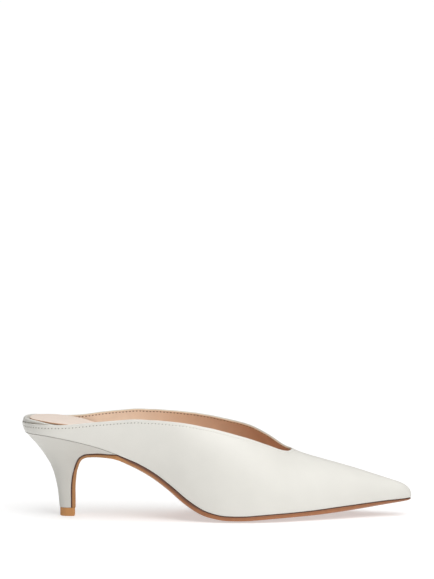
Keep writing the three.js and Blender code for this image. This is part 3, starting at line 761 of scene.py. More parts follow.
class MuleColours(bpy.types.PropertyGroup):
    """Colours of the shoe."""

    leather: colour_property("Leather", "White leather of the upper", "D9D7D0")
    # Painted shade: the same white leather as the upper, painted darker for the shade on the heel
    heel: colour_property("Heel cover", "White leather of the heel", "CCCAC3")
    rim: colour_property("Insole cover", "White leather round the insole", "D6D4CD")
    lining: colour_property("Lining", "Tan lining", "EBC5A6")
    # Painted light behind and painted shade at the throat, laid over the lining's tan
    lining_lit_back: colour_property("Lining behind", "Paler hide at the back", "F2D7BF")
    lining_shaded_throat: colour_property("Lining at the throat", "Deeper toned hide at the throat", "DCAD8C")
    lining_edge: colour_property("Lining edge", "Pale top edge of the lining", "E6D3B8")
    sock: colour_property("Sock", "Beige sock", "EAD9CB")
    sock_edge: colour_property("Sock edge", "Cut edge of the sock", "C79C7C")
    sole: colour_property("Sole", "Tan sole leather", "A1673F")
    sole_back: colour_property("Heel strip", "Tan sole leather down the breast", "B8814B")
    # Edge ink and painted shade along the top of the sole's edge
    sole_ink_and_shade: colour_property("Sole ink", "Dark line along the top of the sole's edge", "633B29")
    top_piece: colour_property("Top piece", "Tan top piece of the heel", "C28A52")
    thread: colour_property("Thread", "Sewing thread", "DDDAD2")
    hole: colour_property("Needle holes", "Shadow in the needle holes", "7C786F")
    # Painted shadow: the tan thread painted dark with the shade of its needle holes
    lining_stitch_and_shadow: colour_property("Lining stitches", "Stitches seen on the lining", "7A563F")
    floor: colour_property("Floor", "Pale studio floor", "CCCCCC")


# Upper


# How much the places 1, 2 and 3 steps away count in the topline's direction
TANGENT_WEIGHTS = ((1, 1.0), (2, 0.6), (3, 0.35))
ROLL_STEPS = 9  # points across the half round along the topline
GROOVE_REACH = 0.38  # how far from their row the stitches pull the leather in
LINING_TUCK = 0.2  # the lining is pressed into the leather's flesh side
LINING_BOTTOM = 0.3  # lower end of the lining over the feather line
LINING_ROOM = 0.2  # least room between the lining's top and the row of points below it
NEAR_DEPTHS = np.array([5.0, 4.1, 3.5, 3.1, 2.85, 2.65, 2.45, 2.3, 2.15, 1.95, 1.75, 1.5, 1.15, 0.8])


def topline_frame():
    """The topline's ring and its two directions. The square direction e points out of the leather's
    edge: it is the surface's normal crossed with the ring's tangent. For each side: the cut shares,
    and the change of x and of share for one millimetre along the surface, square to the topline."""
    x, t = STATIONS[:THROAT_AT + 1], THROAT_AT
    lines, normals, steps_along, steps_up, runs = [], [], [], [], []
    for side in SIDES:
        cut = cut_share(x, side)
        after = STATIONS[1:THROAT_AT + 2]
        before = np.concatenate([x[1:2], x[:-1]])
        before_side = np.concatenate([[-side], np.full(len(x) - 1, side)])
        along = (surface(after, side, cut) - surface(before, before_side, cut)) / 2
        up = (surface(x, side, cut) - surface(x, side, cut - SHARE_STEP)) / SHARE_STEP
        lines.append(surface(x, side, cut))
        normals.append(unit(np.cross(along, up)) * -side)
        steps_along.append(along)
        steps_up.append(up)
        runs.append((after - before) / 2)
    ring = np.concatenate([lines[0], lines[1][-2:0:-1]])
    ring_normal = np.concatenate([normals[0], normals[1][-2:0:-1]])
    tangent = sum(
        weight * (np.roll(ring, -k, axis=0) - np.roll(ring, k, axis=0))
        for k, weight in TANGENT_WEIGHTS
    )
    square = unit(np.cross(ring_normal, tangent))
    inner_places = (len(ring) - np.arange(t + 1)) % len(ring)
    if np.sum(square[: t + 1] * steps_up[0]) < 0:
        square = -square
    found = {}
    both_places = (np.arange(t + 1), inner_places)
    for side, places, along, up, run in zip(SIDES, both_places, steps_along, steps_up, runs):
        e = square[places]
        aa, au, uu = (np.sum(p * q, axis=1) for p, q in ((along, along), (along, up), (up, up)))
        ea, eu = np.sum(e * along, axis=1), np.sum(e * up, axis=1)
        det = aa * uu - au * au
        step_x = -(ea * uu - eu * au) / det * run
        step_share = -(eu * aa - ea * au) / det
        step_share[-1] = 0.0
        found[side] = {"cut": cut_share(x, side), "dx": step_x, "ds": step_share}
    return found, square


TOPLINE_STEPS, TOPLINE_SQUARE = topline_frame()


def at_depth(side, depth):
    """x and share of the places that lie depth millimetres below the topline, in rows of depth."""
    x, steps = STATIONS[:THROAT_AT + 1], TOPLINE_STEPS[side]
    depth = np.asarray(depth, float)[:, None]
    return x + depth * steps["dx"], np.clip(steps["cut"] + depth * steps["ds"], 0, 1)


def shell_grids(depths, bottom, rows=26, fade=40.0):
    """The outside of the upper as four grids. Near the topline the rows lie at the given depths, and
    the others share out the way from the bottom to the deepest of them. In front of the throat the
    rows run on to the ridge, moved forward a little so that they meet the ones round its point."""
    near, far = [], []
    for side in SIDES:
        x, share = at_depth(side, depths)
        near.append(surface(x, side, share))
        top_x, top_share = x[0], share[0]
        ahead = STATIONS[THROAT_AT + 1:]
        push = (top_x[-1] - THROAT) * np.clip(1 - (ahead - THROAT) / fade, 0, 1) ** 2
        top_x = np.concatenate([top_x, ahead + push])
        top_share = np.concatenate([top_share, np.ones(len(ahead))])
        first = surface(STATIONS, side, SHARE_STEP) - surface(STATIONS, side, 0.0)
        low_share = bottom * SHARE_STEP / np.linalg.norm(first, axis=1)
        q = np.linspace(0, 1, rows)[:, None]
        far.append(surface(mix(STATIONS, top_x, q * q), side, mix(low_share, top_share, q)))
    return near, far


def groove_share(depths, row):
    """How much of the stitches' pull each row of points takes: a bell round the row, e raised to
    minus the square of the distance over the reach."""
    return np.exp(-(((depths - row) / GROOVE_REACH) ** 2))


def ring_of(rows_outer, rows_inner):
    """One closed ring from the outer side's row and the inner side's, which share both ends."""
    return np.concatenate([rows_outer, rows_inner[-2:0:-1]])


def build_shell(depths, outside, inside, bottom, turned, row, groove_out=0.0, groove_in=0.0):
    """A shell between two distances inside the last's surface, with a half round along the topline.
    Its lower edge is turned under on a quarter round where turned is set, and cut square elsewhere."""
    depths = np.asarray(depths, float)
    near, far = shell_grids(depths, bottom)
    normals = grid_normals(near + far, SIDES + SIDES)
    near_n, far_n = normals[:2], normals[2:]
    dip = groove_share(depths, row)[:, None, None]
    out_near = [p - (outside + groove_out * dip) * n for p, n in zip(near, near_n)]
    in_near = [p - (inside - groove_in * dip) * n for p, n in zip(near, near_n)]
    out_far = [p - outside * n for p, n in zip(far, far_n)]
    in_far = [p - inside * n for p, n in zip(far, far_n)]
    top_out, top_in = ring_of(out_near[0][-1], out_near[1][-1]), ring_of(in_near[0][-1], in_near[1][-1])
    centre, across = (top_out + top_in) / 2, (top_out - top_in) / 2
    lift = TOPLINE_SQUARE * np.linalg.norm(across, axis=1, keepdims=True)
    angle = np.linspace(0, np.pi, ROLL_STEPS)[:, None, None]
    roll = centre + across * np.cos(angle) + lift * np.sin(angle)
    roll = np.concatenate([roll, roll[:, :1]], axis=1)
    low_out, low_in = ring_of(out_far[0][0], out_far[1][0]), ring_of(in_far[0][0], in_far[1][0])
    if turned:
        run = np.roll(low_out, -1, axis=0) - np.roll(low_out, 1, axis=0)
        outward = unit(stack(run[:, 1], -run[:, 0], 0 * run[:, 0]))
        if np.sum(outward * (low_out - low_out.mean(axis=0))) < 0:
            outward = -outward
        down = np.array([0.0, 0.0, -1.0])
        angle = quarter(5)[:, None, None]
        under = low_out - bottom * (1 - np.cos(angle)) * outward + bottom * np.sin(angle) * down
        foot = np.concatenate([under, (low_in + bottom * down)[None], low_in[None]])
    else:
        foot = np.stack([low_out, low_in])
    foot = np.concatenate([foot, foot[:, :1]], axis=1)
    near_depth = [np.broadcast_to(depths[:, None], g.shape[:2]) for g in near]
    far_depth = [np.full(g.shape[:2], depths[0]) for g in far]
    ends = [np.full(roll.shape[:2], depths[-1]), np.full(foot.shape[:2], depths[0])]
    grids = out_near + out_far + in_near + in_far + [roll, foot]
    return grids, 2 * (near_depth + far_depth) + ends


class MULE_OT_upper(bpy.types.Operator):
    """White leather of the upper, turned over at the topline and under at the feather line"""

    bl_idname = "mule.upper"
    bl_label = "Upper leather"

    def execute(self, context):
        sizes, colours = context.scene.mule_sizes, context.scene.mule_colours
        thick = sizes.leather / MM
        depths = np.append(NEAR_DEPTHS, thick / 2)
        grids, _ = build_shell(
            depths, 0.0, thick, sizes.bottom_round / MM, turned=True,
            row=sizes.row_depth / MM, groove_out=sizes.groove / MM,
        )
        leather = nappa("white_nappa_upper", colours.leather, 0.46, 0.055)
        add_piece("upper_leather", grids, leather, "upper")
        return {"FINISHED"}


class MULE_OT_lining(bpy.types.Operator):
    """Tan lining inside the upper, sewn in below the turned edge"""

    bl_idname = "mule.lining"
    bl_label = "Lining"

    def execute(self, context):
        sizes, colours = context.scene.mule_sizes, context.scene.mule_colours
        outside = sizes.leather / MM - LINING_TUCK
        inside = outside + sizes.lining / MM
        top = sizes.lining_drop / MM + sizes.lining / MM / 2
        depths = np.append(NEAR_DEPTHS[NEAR_DEPTHS > top + LINING_ROOM], top)
        grids, below = build_shell(
            depths, outside, inside, LINING_BOTTOM, turned=False,
            row=sizes.lining_row / MM, groove_in=sizes.groove / MM,
        )
        values = {"below_topline": below}
        add_piece("upper_lining", grids, lining_leather(colours), values=values)
        return {"FINISHED"}


# Stitches

ROW_HALF = 0.3  # half width of the strip that gives the stitch row its normals
CHORD_HALF = 0.4  # half the chord that gives a stitch its direction
BEAD_POWER, BEAD_DIP = 2.6, 0.9  # how blunt a stitch's ends are, and how far they dip, in its heights
LIT_FROM, LIT_REACH, LIT_MOST = 75.0, 55.0, 0.85  # where the painted hole shadows start to fade to painted light, over how far, and how much


def stitch_places(row, inset, pitch):
    """Places a pitch apart along the stitch row, on the ring that lies row millimetres below the
    topline and inset millimetres inside the outside: centre, tangent and normal of each."""
    near, _ = shell_grids(np.array([row + ROW_HALF, row, row - ROW_HALF]), LINING_BOTTOM)
    normal = grid_normals(near, SIDES)
    line = ring_of(near[0][1], near[1][1]) - inset * ring_of(normal[0][1], normal[1][1])
    outward = ring_of(normal[0][1], normal[1][1])
    line, outward = closed(line), closed(outward)
    run = np.concatenate([[0], np.cumsum(np.linalg.norm(np.diff(line, axis=0), axis=1))])
    count = int(round(run[-1] / pitch))
    at = (np.arange(count) + 0.5) / count * run[-1]

    def pick(values, where):
        """The ring's values at lengths along it."""
        return np.stack([np.interp(where, run, values[:, k]) for k in range(3)], axis=1)

    tangent = unit(pick(line, at + CHORD_HALF) - pick(line, at - CHORD_HALF))
    return pick(line, at), tangent, unit(pick(outward, at)), run[-1] / count


def beads(centre, tangent, normal, along, across, high, lift, turn, rings=7, sides=8):
    """Small capsules: superellipses carried along each tangent. along, across and high are half
    sizes, lift raises them off the surface, turn slants them on it, and their ends dip under."""
    width = np.cross(normal, tangent)
    a, b = math.cos(turn), math.sin(turn)
    length_way = a * tangent + b * width
    width_way = a * width - b * tangent
    u = np.linspace(-1, 1, rings)[None, :, None, None]
    v = np.linspace(0, 2 * np.pi, sides + 1)[None, None, :, None]
    girth = np.sqrt(np.clip(1 - np.abs(u) ** BEAD_POWER, 0, 1))
    t, w, n = (d[:, None, None, :] for d in (length_way, width_way, normal))
    body = centre[:, None, None, :] + along * u * t + across * girth * np.cos(v) * w
    points = body + (high * girth * np.sin(v) + lift - high * BEAD_DIP * np.abs(u) ** 3) * n
    return list(points)


class MULE_OT_stitching(bpy.types.Operator):
    """Thread of the row below the topline, outside and on the lining, and the painted shadows of its needle
    holes
    """

    bl_idname = "mule.stitching"
    bl_label = "Topline stitches"

    def execute(self, context):
        sizes, colours = context.scene.mule_sizes, context.scene.mule_colours
        row, pitch = sizes.row_depth / MM, sizes.pitch / MM
        radius, half = sizes.thread / MM, sizes.stitch / MM / 2
        groove = sizes.groove / MM
        inside = (sizes.leather + sizes.lining) / MM - LINING_TUCK
        centre, tangent, normal, step = stitch_places(row, groove, pitch)
        thread = thread_material("polyester_thread", colours.thread, 0.55)
        outside_thread = beads(
            centre, tangent, normal, along=half, across=radius, high=radius * 0.8, lift=0.04, turn=0.12,
        )
        add_piece("topline_thread", outside_thread, thread)
        # Painted shadow: dark beads stand for the shade inside the needle holes.
        holes = beads(
            centre + tangent * step / 2, tangent, normal,
            along=0.62, across=0.27, high=0.1, lift=0.02, turn=1.2,
        )
        # Painted light: the hole shadows are painted paler over the instep toward the throat, where the row
        # is brightly lit.
        lit_fade = ease((centre[:, 0] - LIT_FROM) / LIT_REACH) * LIT_MOST
        shade = [np.full(grid.shape[:2], value) for grid, value in zip(holes, lit_fade)]
        hole = hole_shadow_material(colours)
        add_piece("topline_hole_shadows", holes, hole, values={"closed": shade})
        centre, tangent, normal, _ = stitch_places(sizes.lining_row / MM, inside - groove, pitch)
        lining_stitches = beads(
            centre, tangent, -normal,
            along=half * 0.9, across=radius * 1.5, high=radius, lift=0.05, turn=-0.1,
        )
        # Painted shadow: the lining's tan thread is painted dark brown with the shade of its needle holes.
        sewn = thread_material("lining_thread_and_shadow", colours.lining_stitch_and_shadow, 0.6)
        add_piece("lining_thread_and_shadow", lining_stitches, sewn)
        return {"FINISHED"}


# Insole and sock

BAND_CLEAR = 0.1  # underside of the rim over the edge of the band
RIM_CORNER = 0.5  # rounding of the rim's lower corner
RIM_SOFT = 1.5  # width of the rounding on top of the rim, at the back
CREASE = ((0.45, 0.0), (0.6, 0.16), (0.75, 0.0))  # share of the rim's straight side, and how deep
RIM_FALL = ((0.35, 0.05), (0.7, 0.3), (0.9, 0.75), (1.0, 1.0))  # share of the way in, and of the fall
SOCK_EDGE_ROUND = 0.4
SOCK_CROWN_REACH = 12.0  # the sock's crown rises over this length at the back
SOCK_FLAT_FROM, SOCK_FLAT_REACH = 60.0, 60.0  # and sinks to half over this one
SOCK_STEPS = 25  # points across the sock


def rim_share(x):
    """How far the rim of the insole stands up: 1 at the back, 0 where it has gone."""
    return 1 - ease((x - BACK_SET) / RIM_FADE)


def rim_inset(x):
    """How far the rim lies inside the outside of the upper."""
    return mix(RIM_SET, WALL + INSOLE_SIDE_GAP, ease((x - BACK_SET) / RIM_REACH))


def insole_rise(x):
    """Top of the insole over the feather line: its share of the thickness at the seat."""
    return column(FEATHER, "insole", x / LENGTH) * INSOLE_SEAT


def insole_profile(x, side):
    """Heights and insets of the insole's layers at each place: up inside the walls, out under the
    rim, round its lower corner, up its side past a fine crease, round its top and down to the sock."""
    rise, share = insole_rise(x), rim_share(x)
    rim, inset = rise + share * RIM_RISE, rim_inset(x)
    band = surface(x, side, cut_share(x, side))[:, 2] - feather_height(x)
    under = np.minimum(band + BAND_CLEAR, rim - 2 * RIM_ROUND)
    inside = WALL + INSOLE_SIDE_GAP
    low = np.minimum(RIM_CORNER, (rim - under) * 0.3) * mix(0.3, 1.0, share)
    top = (rim - under - low) * mix(0.5, 0.72, share)
    wide = mix(RIM_ROUND, RIM_SOFT, share)
    heights, insets = [0 * x + INSOLE_LIFT, under], [0 * x + inside, 0 * x + inside]
    for angle in quarter(4):
        heights.append(under + low * (1 - math.cos(angle)))
        insets.append(inset + low * (1 - math.sin(angle)))
    straight = rim - top - (under + low)
    for part, dent in CREASE:
        heights.append(under + low + straight * part)
        insets.append(inset + dent * share)
    for angle in quarter(7):
        heights.append(rim - top * (1 - math.sin(angle)))
        insets.append(inset + wide * (1 - math.cos(angle)))
    for part, fall in RIM_FALL:
        heights.append(mix(rim, rise, fall))
        insets.append(inset + wide + share * part * (RIM_TOP + RIM_ROUND - (wide - RIM_ROUND)))
    return np.array(heights), np.array(insets)


class MULE_OT_insole(bpy.types.Operator):
    """Insole wrapped in white leather, with its rounded rim round the heel seat"""

    bl_idname = "mule.insole"
    bl_label = "Insole"

    def execute(self, context):
        colours = context.scene.mule_colours
        x = STATIONS[STATIONS <= LENGTH - INSOLE_SHORT]
        sides = [wall_point(x, side, *insole_profile(x, side)) for side in SIDES]
        covers = [strip(sides[0][k], sides[1][k]) for k in (0, -1)]
        end = strip(sides[0][:, -1], sides[1][:, -1])
        leather = nappa("white_nappa_insole_rim", colours.rim, 0.46, 0.04)
        add_piece("insole_cover", sides + covers + [end], leather, "insole")
        return {"FINISHED"}


class MULE_OT_sock(bpy.types.Operator):
    """Beige padded sock on the insole, with its brown cut edge"""

    bl_idname = "mule.sock"
    bl_label = "Sock"

    def execute(self, context):
        sizes, colours = context.scene.mule_sizes, context.scene.mule_colours
        x = STATIONS[STATIONS <= LENGTH - SOCK_SHORT]
        share = rim_share(x)
        inset = rim_inset(x) + RIM_ROUND + share * (RIM_TOP + RIM_ROUND) + SOCK_BORDER
        inset = inset + SOCK_BACK * share
        bottom, top = insole_rise(x) + GAP, insole_rise(x) + GAP + SOCK
        turn = quarter(4)[:, None]
        rounded = top - SOCK_EDGE_ROUND + SOCK_EDGE_ROUND * np.sin(turn)
        heights = np.concatenate([bottom[None], mix(bottom, top, 0.55)[None], rounded])
        insets = np.concatenate([inset[None], inset[None], inset + SOCK_EDGE_ROUND * (1 - np.cos(turn))])
        sides = [wall_point(x, side, heights, insets) for side in SIDES]
        # The middle rises as one minus the square of the way across, which the padding gives it.
        v = np.linspace(-1, 1, SOCK_STEPS)[:, None, None]
        face = mix(sides[0][-1], sides[1][-1], (v + 1) / 2)
        sink = mix(1.0, 0.5, ease((x - SOCK_FLAT_FROM) / SOCK_FLAT_REACH))
        taper = ease((x - x[0]) / SOCK_CROWN_REACH) * sink
        face[..., 2] += sizes.sock_crown / MM * (1 - v[..., 0] ** 2) * taper
        floor = strip(sides[0][0], sides[1][0])
        end_face = np.concatenate([face[:, -1], sides[1][::-1, -1], sides[0][:, -1]])
        centre = end_face.mean(axis=0)
        cap = np.stack([end_face, np.broadcast_to(centre, end_face.shape)])
        edge = np.ones(heights.shape)
        edge[-2:] = 0.0
        values = [edge, edge, np.zeros(face.shape[:2]), np.zeros(floor.shape[:2]), np.zeros(cap.shape[:2])]
        grids = sides + [face, floor, cap]
        piece = add_piece(
            "padded_sock", grids, sock_leather(colours), "sock", {"cut_edge": values},
        )
        return {"FINISHED"}


# Heel, sole and top piece

SEAT_STEPS, SIDE_STEPS = 8, 6  # places on a heel section: round the seat, then along its side
HEEL_RISE = 50.0  # about the heel's height, for lengths along its two lines
BREAST_SHARE = 0.45  # half width of the breast at its lower end, share of HEEL_TIP_WIDTH
HEEL_FOOT_ROUND = 0.3
HEEL_EDGE_MOST = 1.2  # two rounded edges that meet come in no further than this, in radii
LEDGE = 0.1  # the raised middle of the seat lies inside its edge
ARCH_DROP = 0.45
WAIST_BLEND = 7.0  # the sole's lower line is averaged over this reach at the waist
FILLER = 0.28  # raised middle of a face, which closes the gap to the piece above it
SOLE_JOIN = 0.8  # the sole's first place along the feather line, past the seat's end
FLAP_FLARE, FLAP_FLARE_SHARE = 0.15, 0.4  # extra thickness at the breast's lower end, and its reach
SOLE_BLEND_LEAD, SOLE_BLEND_REACH = 13.0, 25.0  # where the breast's strip grows into the sole
SOLE_TIP_ROUND, SOLE_TIP_REACH = 4, 0.4  # the sole's thickness is rounded off toward the tip
GAP_FADE = 12.0  # the gap over the sole closes over this length
SOLE_STEPS = 25  # points across the underside
TREAD_FLAT = 0.6  # share of the half width over which the underside is flat
INK_SHADE_BREAST, INK_SHADE_FORE, INK_SHADE_SHANK = 0.7, 1.0, 0.27  # how fast the edge ink and its painted shade end, going down the edge
SHANK_FROM, SHANK_TO, SHANK_FADE_IN, SHANK_FADE_OUT = 62, 112, 12, 20
PAST_INK_SHADE = 4.0
TOP_PIECE_BOW = 0.6  # share of the top piece's length that is round in plan
TOP_PIECE_FOOT_ROUND, TOP_PIECE_TOP_ROUND = 0.7, 0.2
TOP_PIECE_SINK = 0.02  # the top piece ends this far under the heel


def heel_columns():
    """The heel's rows with a place along them: how far the breast's edge and the back line have run,
    as a share of their whole length."""
    rows = dict(HEEL_ROWS)
    breast = stack(
        mix(HEEL_TIP_BREAST, SEAT_END, rows["out"]), HEEL_RISE * rows["up"], 0 * rows["up"],
    )
    back = stack(
        mix(HEEL_TIP_BACK, BACK_SET, rows["back_out"]), HEEL_RISE * rows["back_up"], 0 * rows["up"],
    )
    run = [np.linalg.norm(np.diff(line, axis=0), axis=1) for line in (breast, back)]
    way = np.concatenate([[0], np.cumsum(run[0] + run[1])])
    rows["along"] = way / way[-1]
    return rows


HEEL = heel_columns()


def arch_drop(s):
    """How much further the cover reaches over the sole's edge in the arch than along the breast: a
    soft step up round share 0.4 and a soft step down to the seat's end."""
    return ARCH_DROP * ease((s - 0.3) / 0.25) * (1 - ease((s - 0.8) / 0.2))


def breast_edge(s):
    """The line that the heel's cover and the outsole share, at shares s from the lower end to the
    seat: x, z and the half width on each side."""
    end = feather_height(np.array(SEAT_END)) - GAP
    spread = column(HEEL, "spread", s)
    half = {
        side: mix(
            HEEL_TIP_WIDTH * BREAST_SHARE,
            abs(float(feather(np.array(SEAT_END), side)[1])) - SOLE_SET_IN,
            spread,
        )
        for side in SIDES
    }

    def place(at):
        """x and z of the edge at shares of the way."""
        x = mix(HEEL_TIP_BREAST, SEAT_END, column(HEEL, "out", at))
        return np.stack([x, mix(HEEL_BOTTOM, end, column(HEEL, "up", at))])

    run = place(np.minimum(s + SHARE_STEP, 1)) - place(np.maximum(s - SHARE_STEP, 0))
    run = run / np.linalg.norm(run, axis=0)
    x, z = place(s)
    drop = arch_drop(s)
    return x + run[1] * drop, z - run[0] * drop, half


def rolled(distance, radius):
    """How far a quarter round of that radius has come in, at a distance from the edge."""
    left = radius - np.minimum(distance, radius)
    return radius - np.sqrt(radius**2 - left**2)


def heel_side(s, k, side):
    """One side of the heel: sections across from the back line (k = 0) to the breast's edge. A
    section is a half ellipse at the lower end, and takes the seat's outline on the way up."""
    s, k = s[:, None], k[None, :]
    front_x, front_z, half = breast_edge(s)
    corner = half[side]
    back_x = mix(HEEL_TIP_BACK, BACK_SET, column(HEEL, "back_out", s))
    back_z = mix(HEEL_BOTTOM, feather_height(np.array(BACK_SET)) - GAP, column(HEEL, "back_up", s))
    girth = mix(HEEL_TIP_WIDTH / 2, SEAT_WIDTH / 2, column(HEEL, "girth", s))
    rounded = np.clip(column(HEEL, "round", s), 0, 1)
    x = np.where(
        k <= SEAT_STEPS,
        SEAT_CENTRE - SEAT_ROUND * np.cos(np.minimum(k, SEAT_STEPS) / SEAT_STEPS * np.pi / 2),
        mix(SEAT_CENTRE, SEAT_END, (k - SEAT_STEPS) / SIDE_STEPS),
    )
    seat_share = (x - BACK_SET) / (SEAT_END - BACK_SET)
    angle = k / (SEAT_STEPS + SIDE_STEPS) * np.pi / 2
    share = mix(seat_share, 1 - np.cos(angle), rounded)
    round_half = girth * np.sin(angle) * mix(1, corner / girth, share * share)
    seat = feather(x, side)
    seat_half = np.abs(seat[..., 1]) / (SEAT_WIDTH / 2) * girth
    seat_end = abs(float(feather(np.array(SEAT_END), side)[1]))
    taper = mix(1, corner / (seat_end * girth / SEAT_WIDTH * 2), seat_share)
    width = mix(seat_half * mix(1, taper, rounded), round_half, rounded)
    ends = feather_height(np.array([BACK_SET, SEAT_END])) - GAP
    sag = seat[..., 2] - GAP - mix(ends[0], ends[1], seat_share)
    z = mix(back_z, front_z, share) + sag * (1 - rounded)
    return stack(mix(back_x, front_x, share), side * width, z)


def heel_outward(grid, side):
    """Outward direction of each section in plan."""
    before = np.concatenate([grid[:, 1:2] * np.array([1, -1, 1]), grid[:, :-1]], axis=1)
    after = np.concatenate([grid[:, 1:], 2 * grid[:, -1:] - grid[:, -2:-1]], axis=1)
    run = after - before
    return unit(stack(-side * run[..., 1], side * run[..., 0], 0 * run[..., 0]))


class MULE_OT_heel(bpy.types.Operator):
    """White leather cover of the heel, with turned edges at the seat and along the breast"""

    bl_idname = "mule.heel"
    bl_label = "Heel cover"

    def execute(self, context):
        sizes, colours = context.scene.mule_sizes, context.scene.mule_colours
        radius = sizes.edge_round / MM
        ends = np.array([0.0, 0.001, 0.0025, 0.005, 0.008, 0.012])
        s = np.concatenate([ends[:-1], np.linspace(0.012, 0.985, 72), 1 - ends[::-1]])
        last = SEAT_STEPS + SIDE_STEPS
        close = np.array([0.35, 0.2, 0.12, 0.06, 0.02, 0.0])
        k = np.concatenate([np.linspace(0, last - 0.5, 50), last - close])
        sides = []
        for side in SIDES:
            grid = heel_side(s, k, side)
            outward = heel_outward(grid, side)
            top = np.linalg.norm(grid - grid[-1:], axis=2)
            breast = np.linalg.norm(grid - grid[:, -1:], axis=2)
            low = np.linalg.norm(grid - grid[:1], axis=2)
            come_in = np.maximum(rolled(top, sizes.seat_round / MM), rolled(low, HEEL_FOOT_ROUND))
            come_in = np.minimum(come_in + rolled(breast, radius), radius * HEEL_EDGE_MOST)
            grid = grid - come_in[..., None] * outward
            ledge = grid[-1:] - LEDGE * outward[-1:]
            sides.append(np.concatenate([grid, ledge, ledge + np.array([0, 0, FILLER])]))
        caps = [strip(sides[0][row], sides[1][row]) for row in (0, -1)]
        breast = strip(sides[0][:, -1], sides[1][:, -1])
        # Painted shade: the heel cover is the upper's white leather, painted darker for the shade on the
        # heel.
        leather = nappa("shaded_white_nappa_heel_cover", colours.heel, 0.44, 0.04)
        add_piece("heel_cover", sides + caps + [breast], leather, "heel")
        return {"FINISHED"}


def sole_path():
    """The outsole's rows: up the breast's edge, then along the feather line to the tip. Each has its
    place, its two half widths and its thickness."""
    s = np.linspace(0, 1, 90)
    x, z, half = breast_edge(s)
    along = STATIONS[STATIONS > SEAT_END + SOLE_JOIN]
    outer = feather(along, OUTER) - SOLE_SET_IN * outline_outward(along, OUTER)
    inner = feather(along, INNER) - SOLE_SET_IN * outline_outward(along, INNER)
    flare = FLAP_FLARE * (1 - ease(s / FLAP_FLARE_SHARE))
    flap = np.concatenate([FLAP + flare - arch_drop(s), np.full(len(along), FLAP)])
    x = np.concatenate([x, outer[:, 0]])
    blend = ease((x - SEAT_END + SOLE_BLEND_LEAD) / SOLE_BLEND_REACH)
    rounded = round_end(LENGTH + SOLE_TIP_REACH - x, SOLE_TIP_ROUND, TOE_POWER)
    thickness = column(FEATHER, "sole", x / LENGTH) * SOLE_TREAD * rounded
    return {
        "x": x,
        "z": np.concatenate([z, feather_height(along) - GAP]),
        "outer": np.concatenate([half[OUTER], -outer[:, 1]]),
        "inner": np.concatenate([half[INNER], inner[:, 1]]),
        "thickness": mix(flap, thickness, blend),
        "gap": GAP * (1 - ease((x - SEAT_END) / GAP_FADE)),
        "blend": blend,
    }


def sole_lines(path):
    """The sole's upper line, the way down from it and the thickness. The upper line lies a gap under
    the heel or the feather line, and the lower one square under that. Where the breast meets the
    waist the lower line is averaged: each place counts by e raised to minus the square of its
    distance over WAIST_BLEND."""
    spine = np.stack([path["x"], path["z"]], axis=1)
    run = np.concatenate([spine[1:2] - spine[:1], spine[2:] - spine[:-2], spine[-1:] - spine[-2:-1]])
    run = unit(run)
    down = np.stack([run[:, 1], -run[:, 0]], axis=1)
    top = spine + down * path["gap"][:, None]
    lower = top + down * path["thickness"][:, None]
    way = np.concatenate([[0], np.cumsum(np.linalg.norm(np.diff(spine, axis=0), axis=1))])
    near = np.exp(-((way[:, None] - way) / WAIST_BLEND) ** 2) * np.gradient(way)
    smooth = near @ lower / near.sum(axis=1, keepdims=True)
    beside = 1 - ease(np.abs(path["x"] - SEAT_END) / (4 * WAIST_BLEND))
    lower = mix(lower, smooth, beside[:, None])
    return top, unit(lower - top), np.linalg.norm(lower - top, axis=1)


def ink_and_shade_pace(path):
    """How fast edge_depth grows down the edge: the edge ink with its painted shade runs further down it
    along the shank and a little further on the breast."""
    leaves = 1 - ease((path["x"] - SHANK_TO) / SHANK_FADE_OUT)
    shank = ease((path["x"] - SHANK_FROM) / SHANK_FADE_IN) * leaves
    return mix(mix(INK_SHADE_BREAST, INK_SHADE_FORE, path["blend"]), INK_SHADE_SHANK, shank)


def sole_section(path, thick):
    """Each section from edge to edge: how far across, how deep and how far down the edge, with its ink
    and painted shade. The underside is flat in the middle and rises to its edges as a square."""
    half = (path["inner"] + path["outer"]) / 2
    small = np.minimum(1, half / 1.5)
    edge_lift = SOLE_EDGE_LIFT * path["blend"]
    low = thick - np.minimum(np.minimum(edge_lift, thick * 0.4), half)
    # The raised middle closes the gap: to the heel, and in front of it to the upper.
    raised = -FILLER - np.where(path["x"] > SEAT_END, path["gap"], 0)
    # The edge, from its raised middle and its top corner down: how far inside, and how deep.
    wall = [
        (1.1, raised), (0.7, raised), (0.62, raised * 0.5), (0.6, 0 * low), (0.35, 0 * low + 0.06),
        (0.16, 0 * low + 0.2), (0.03, 0 * low + 0.45), (0.0, low * 0.33), (0.0, low * 0.45),
        (0.06, low * 0.5), (0.02, low * 0.55), (0.04, low - 0.7), (0.13, low - 0.38),
        (0.3, low - 0.14), (0.5, low - 0.03),
    ]
    across = [-(half - inset * small) for inset, _ in wall]
    depth = [np.minimum(d, low) for _, d in wall]
    for share in np.linspace(-1, 1, SOLE_STEPS):
        past = max(0.0, abs(share) - TREAD_FLAT) / (1 - TREAD_FLAT)
        lift = edge_lift * past * past
        across.append(share * (half - 0.8 * small))
        depth.append(thick - np.minimum(np.minimum(lift, thick * 0.4), half))
    inked_and_shaded = [d * ink_and_shade_pace(path) for d in depth[:len(wall)]]
    ink_and_shade = inked_and_shaded + [0 * low + PAST_INK_SHADE] * SOLE_STEPS + inked_and_shaded[::-1]
    across += [half - inset * small for inset, _ in reversed(wall)]
    depth += depth[:len(wall)][::-1]
    return (np.stack(v, axis=1) for v in (across, depth, ink_and_shade))


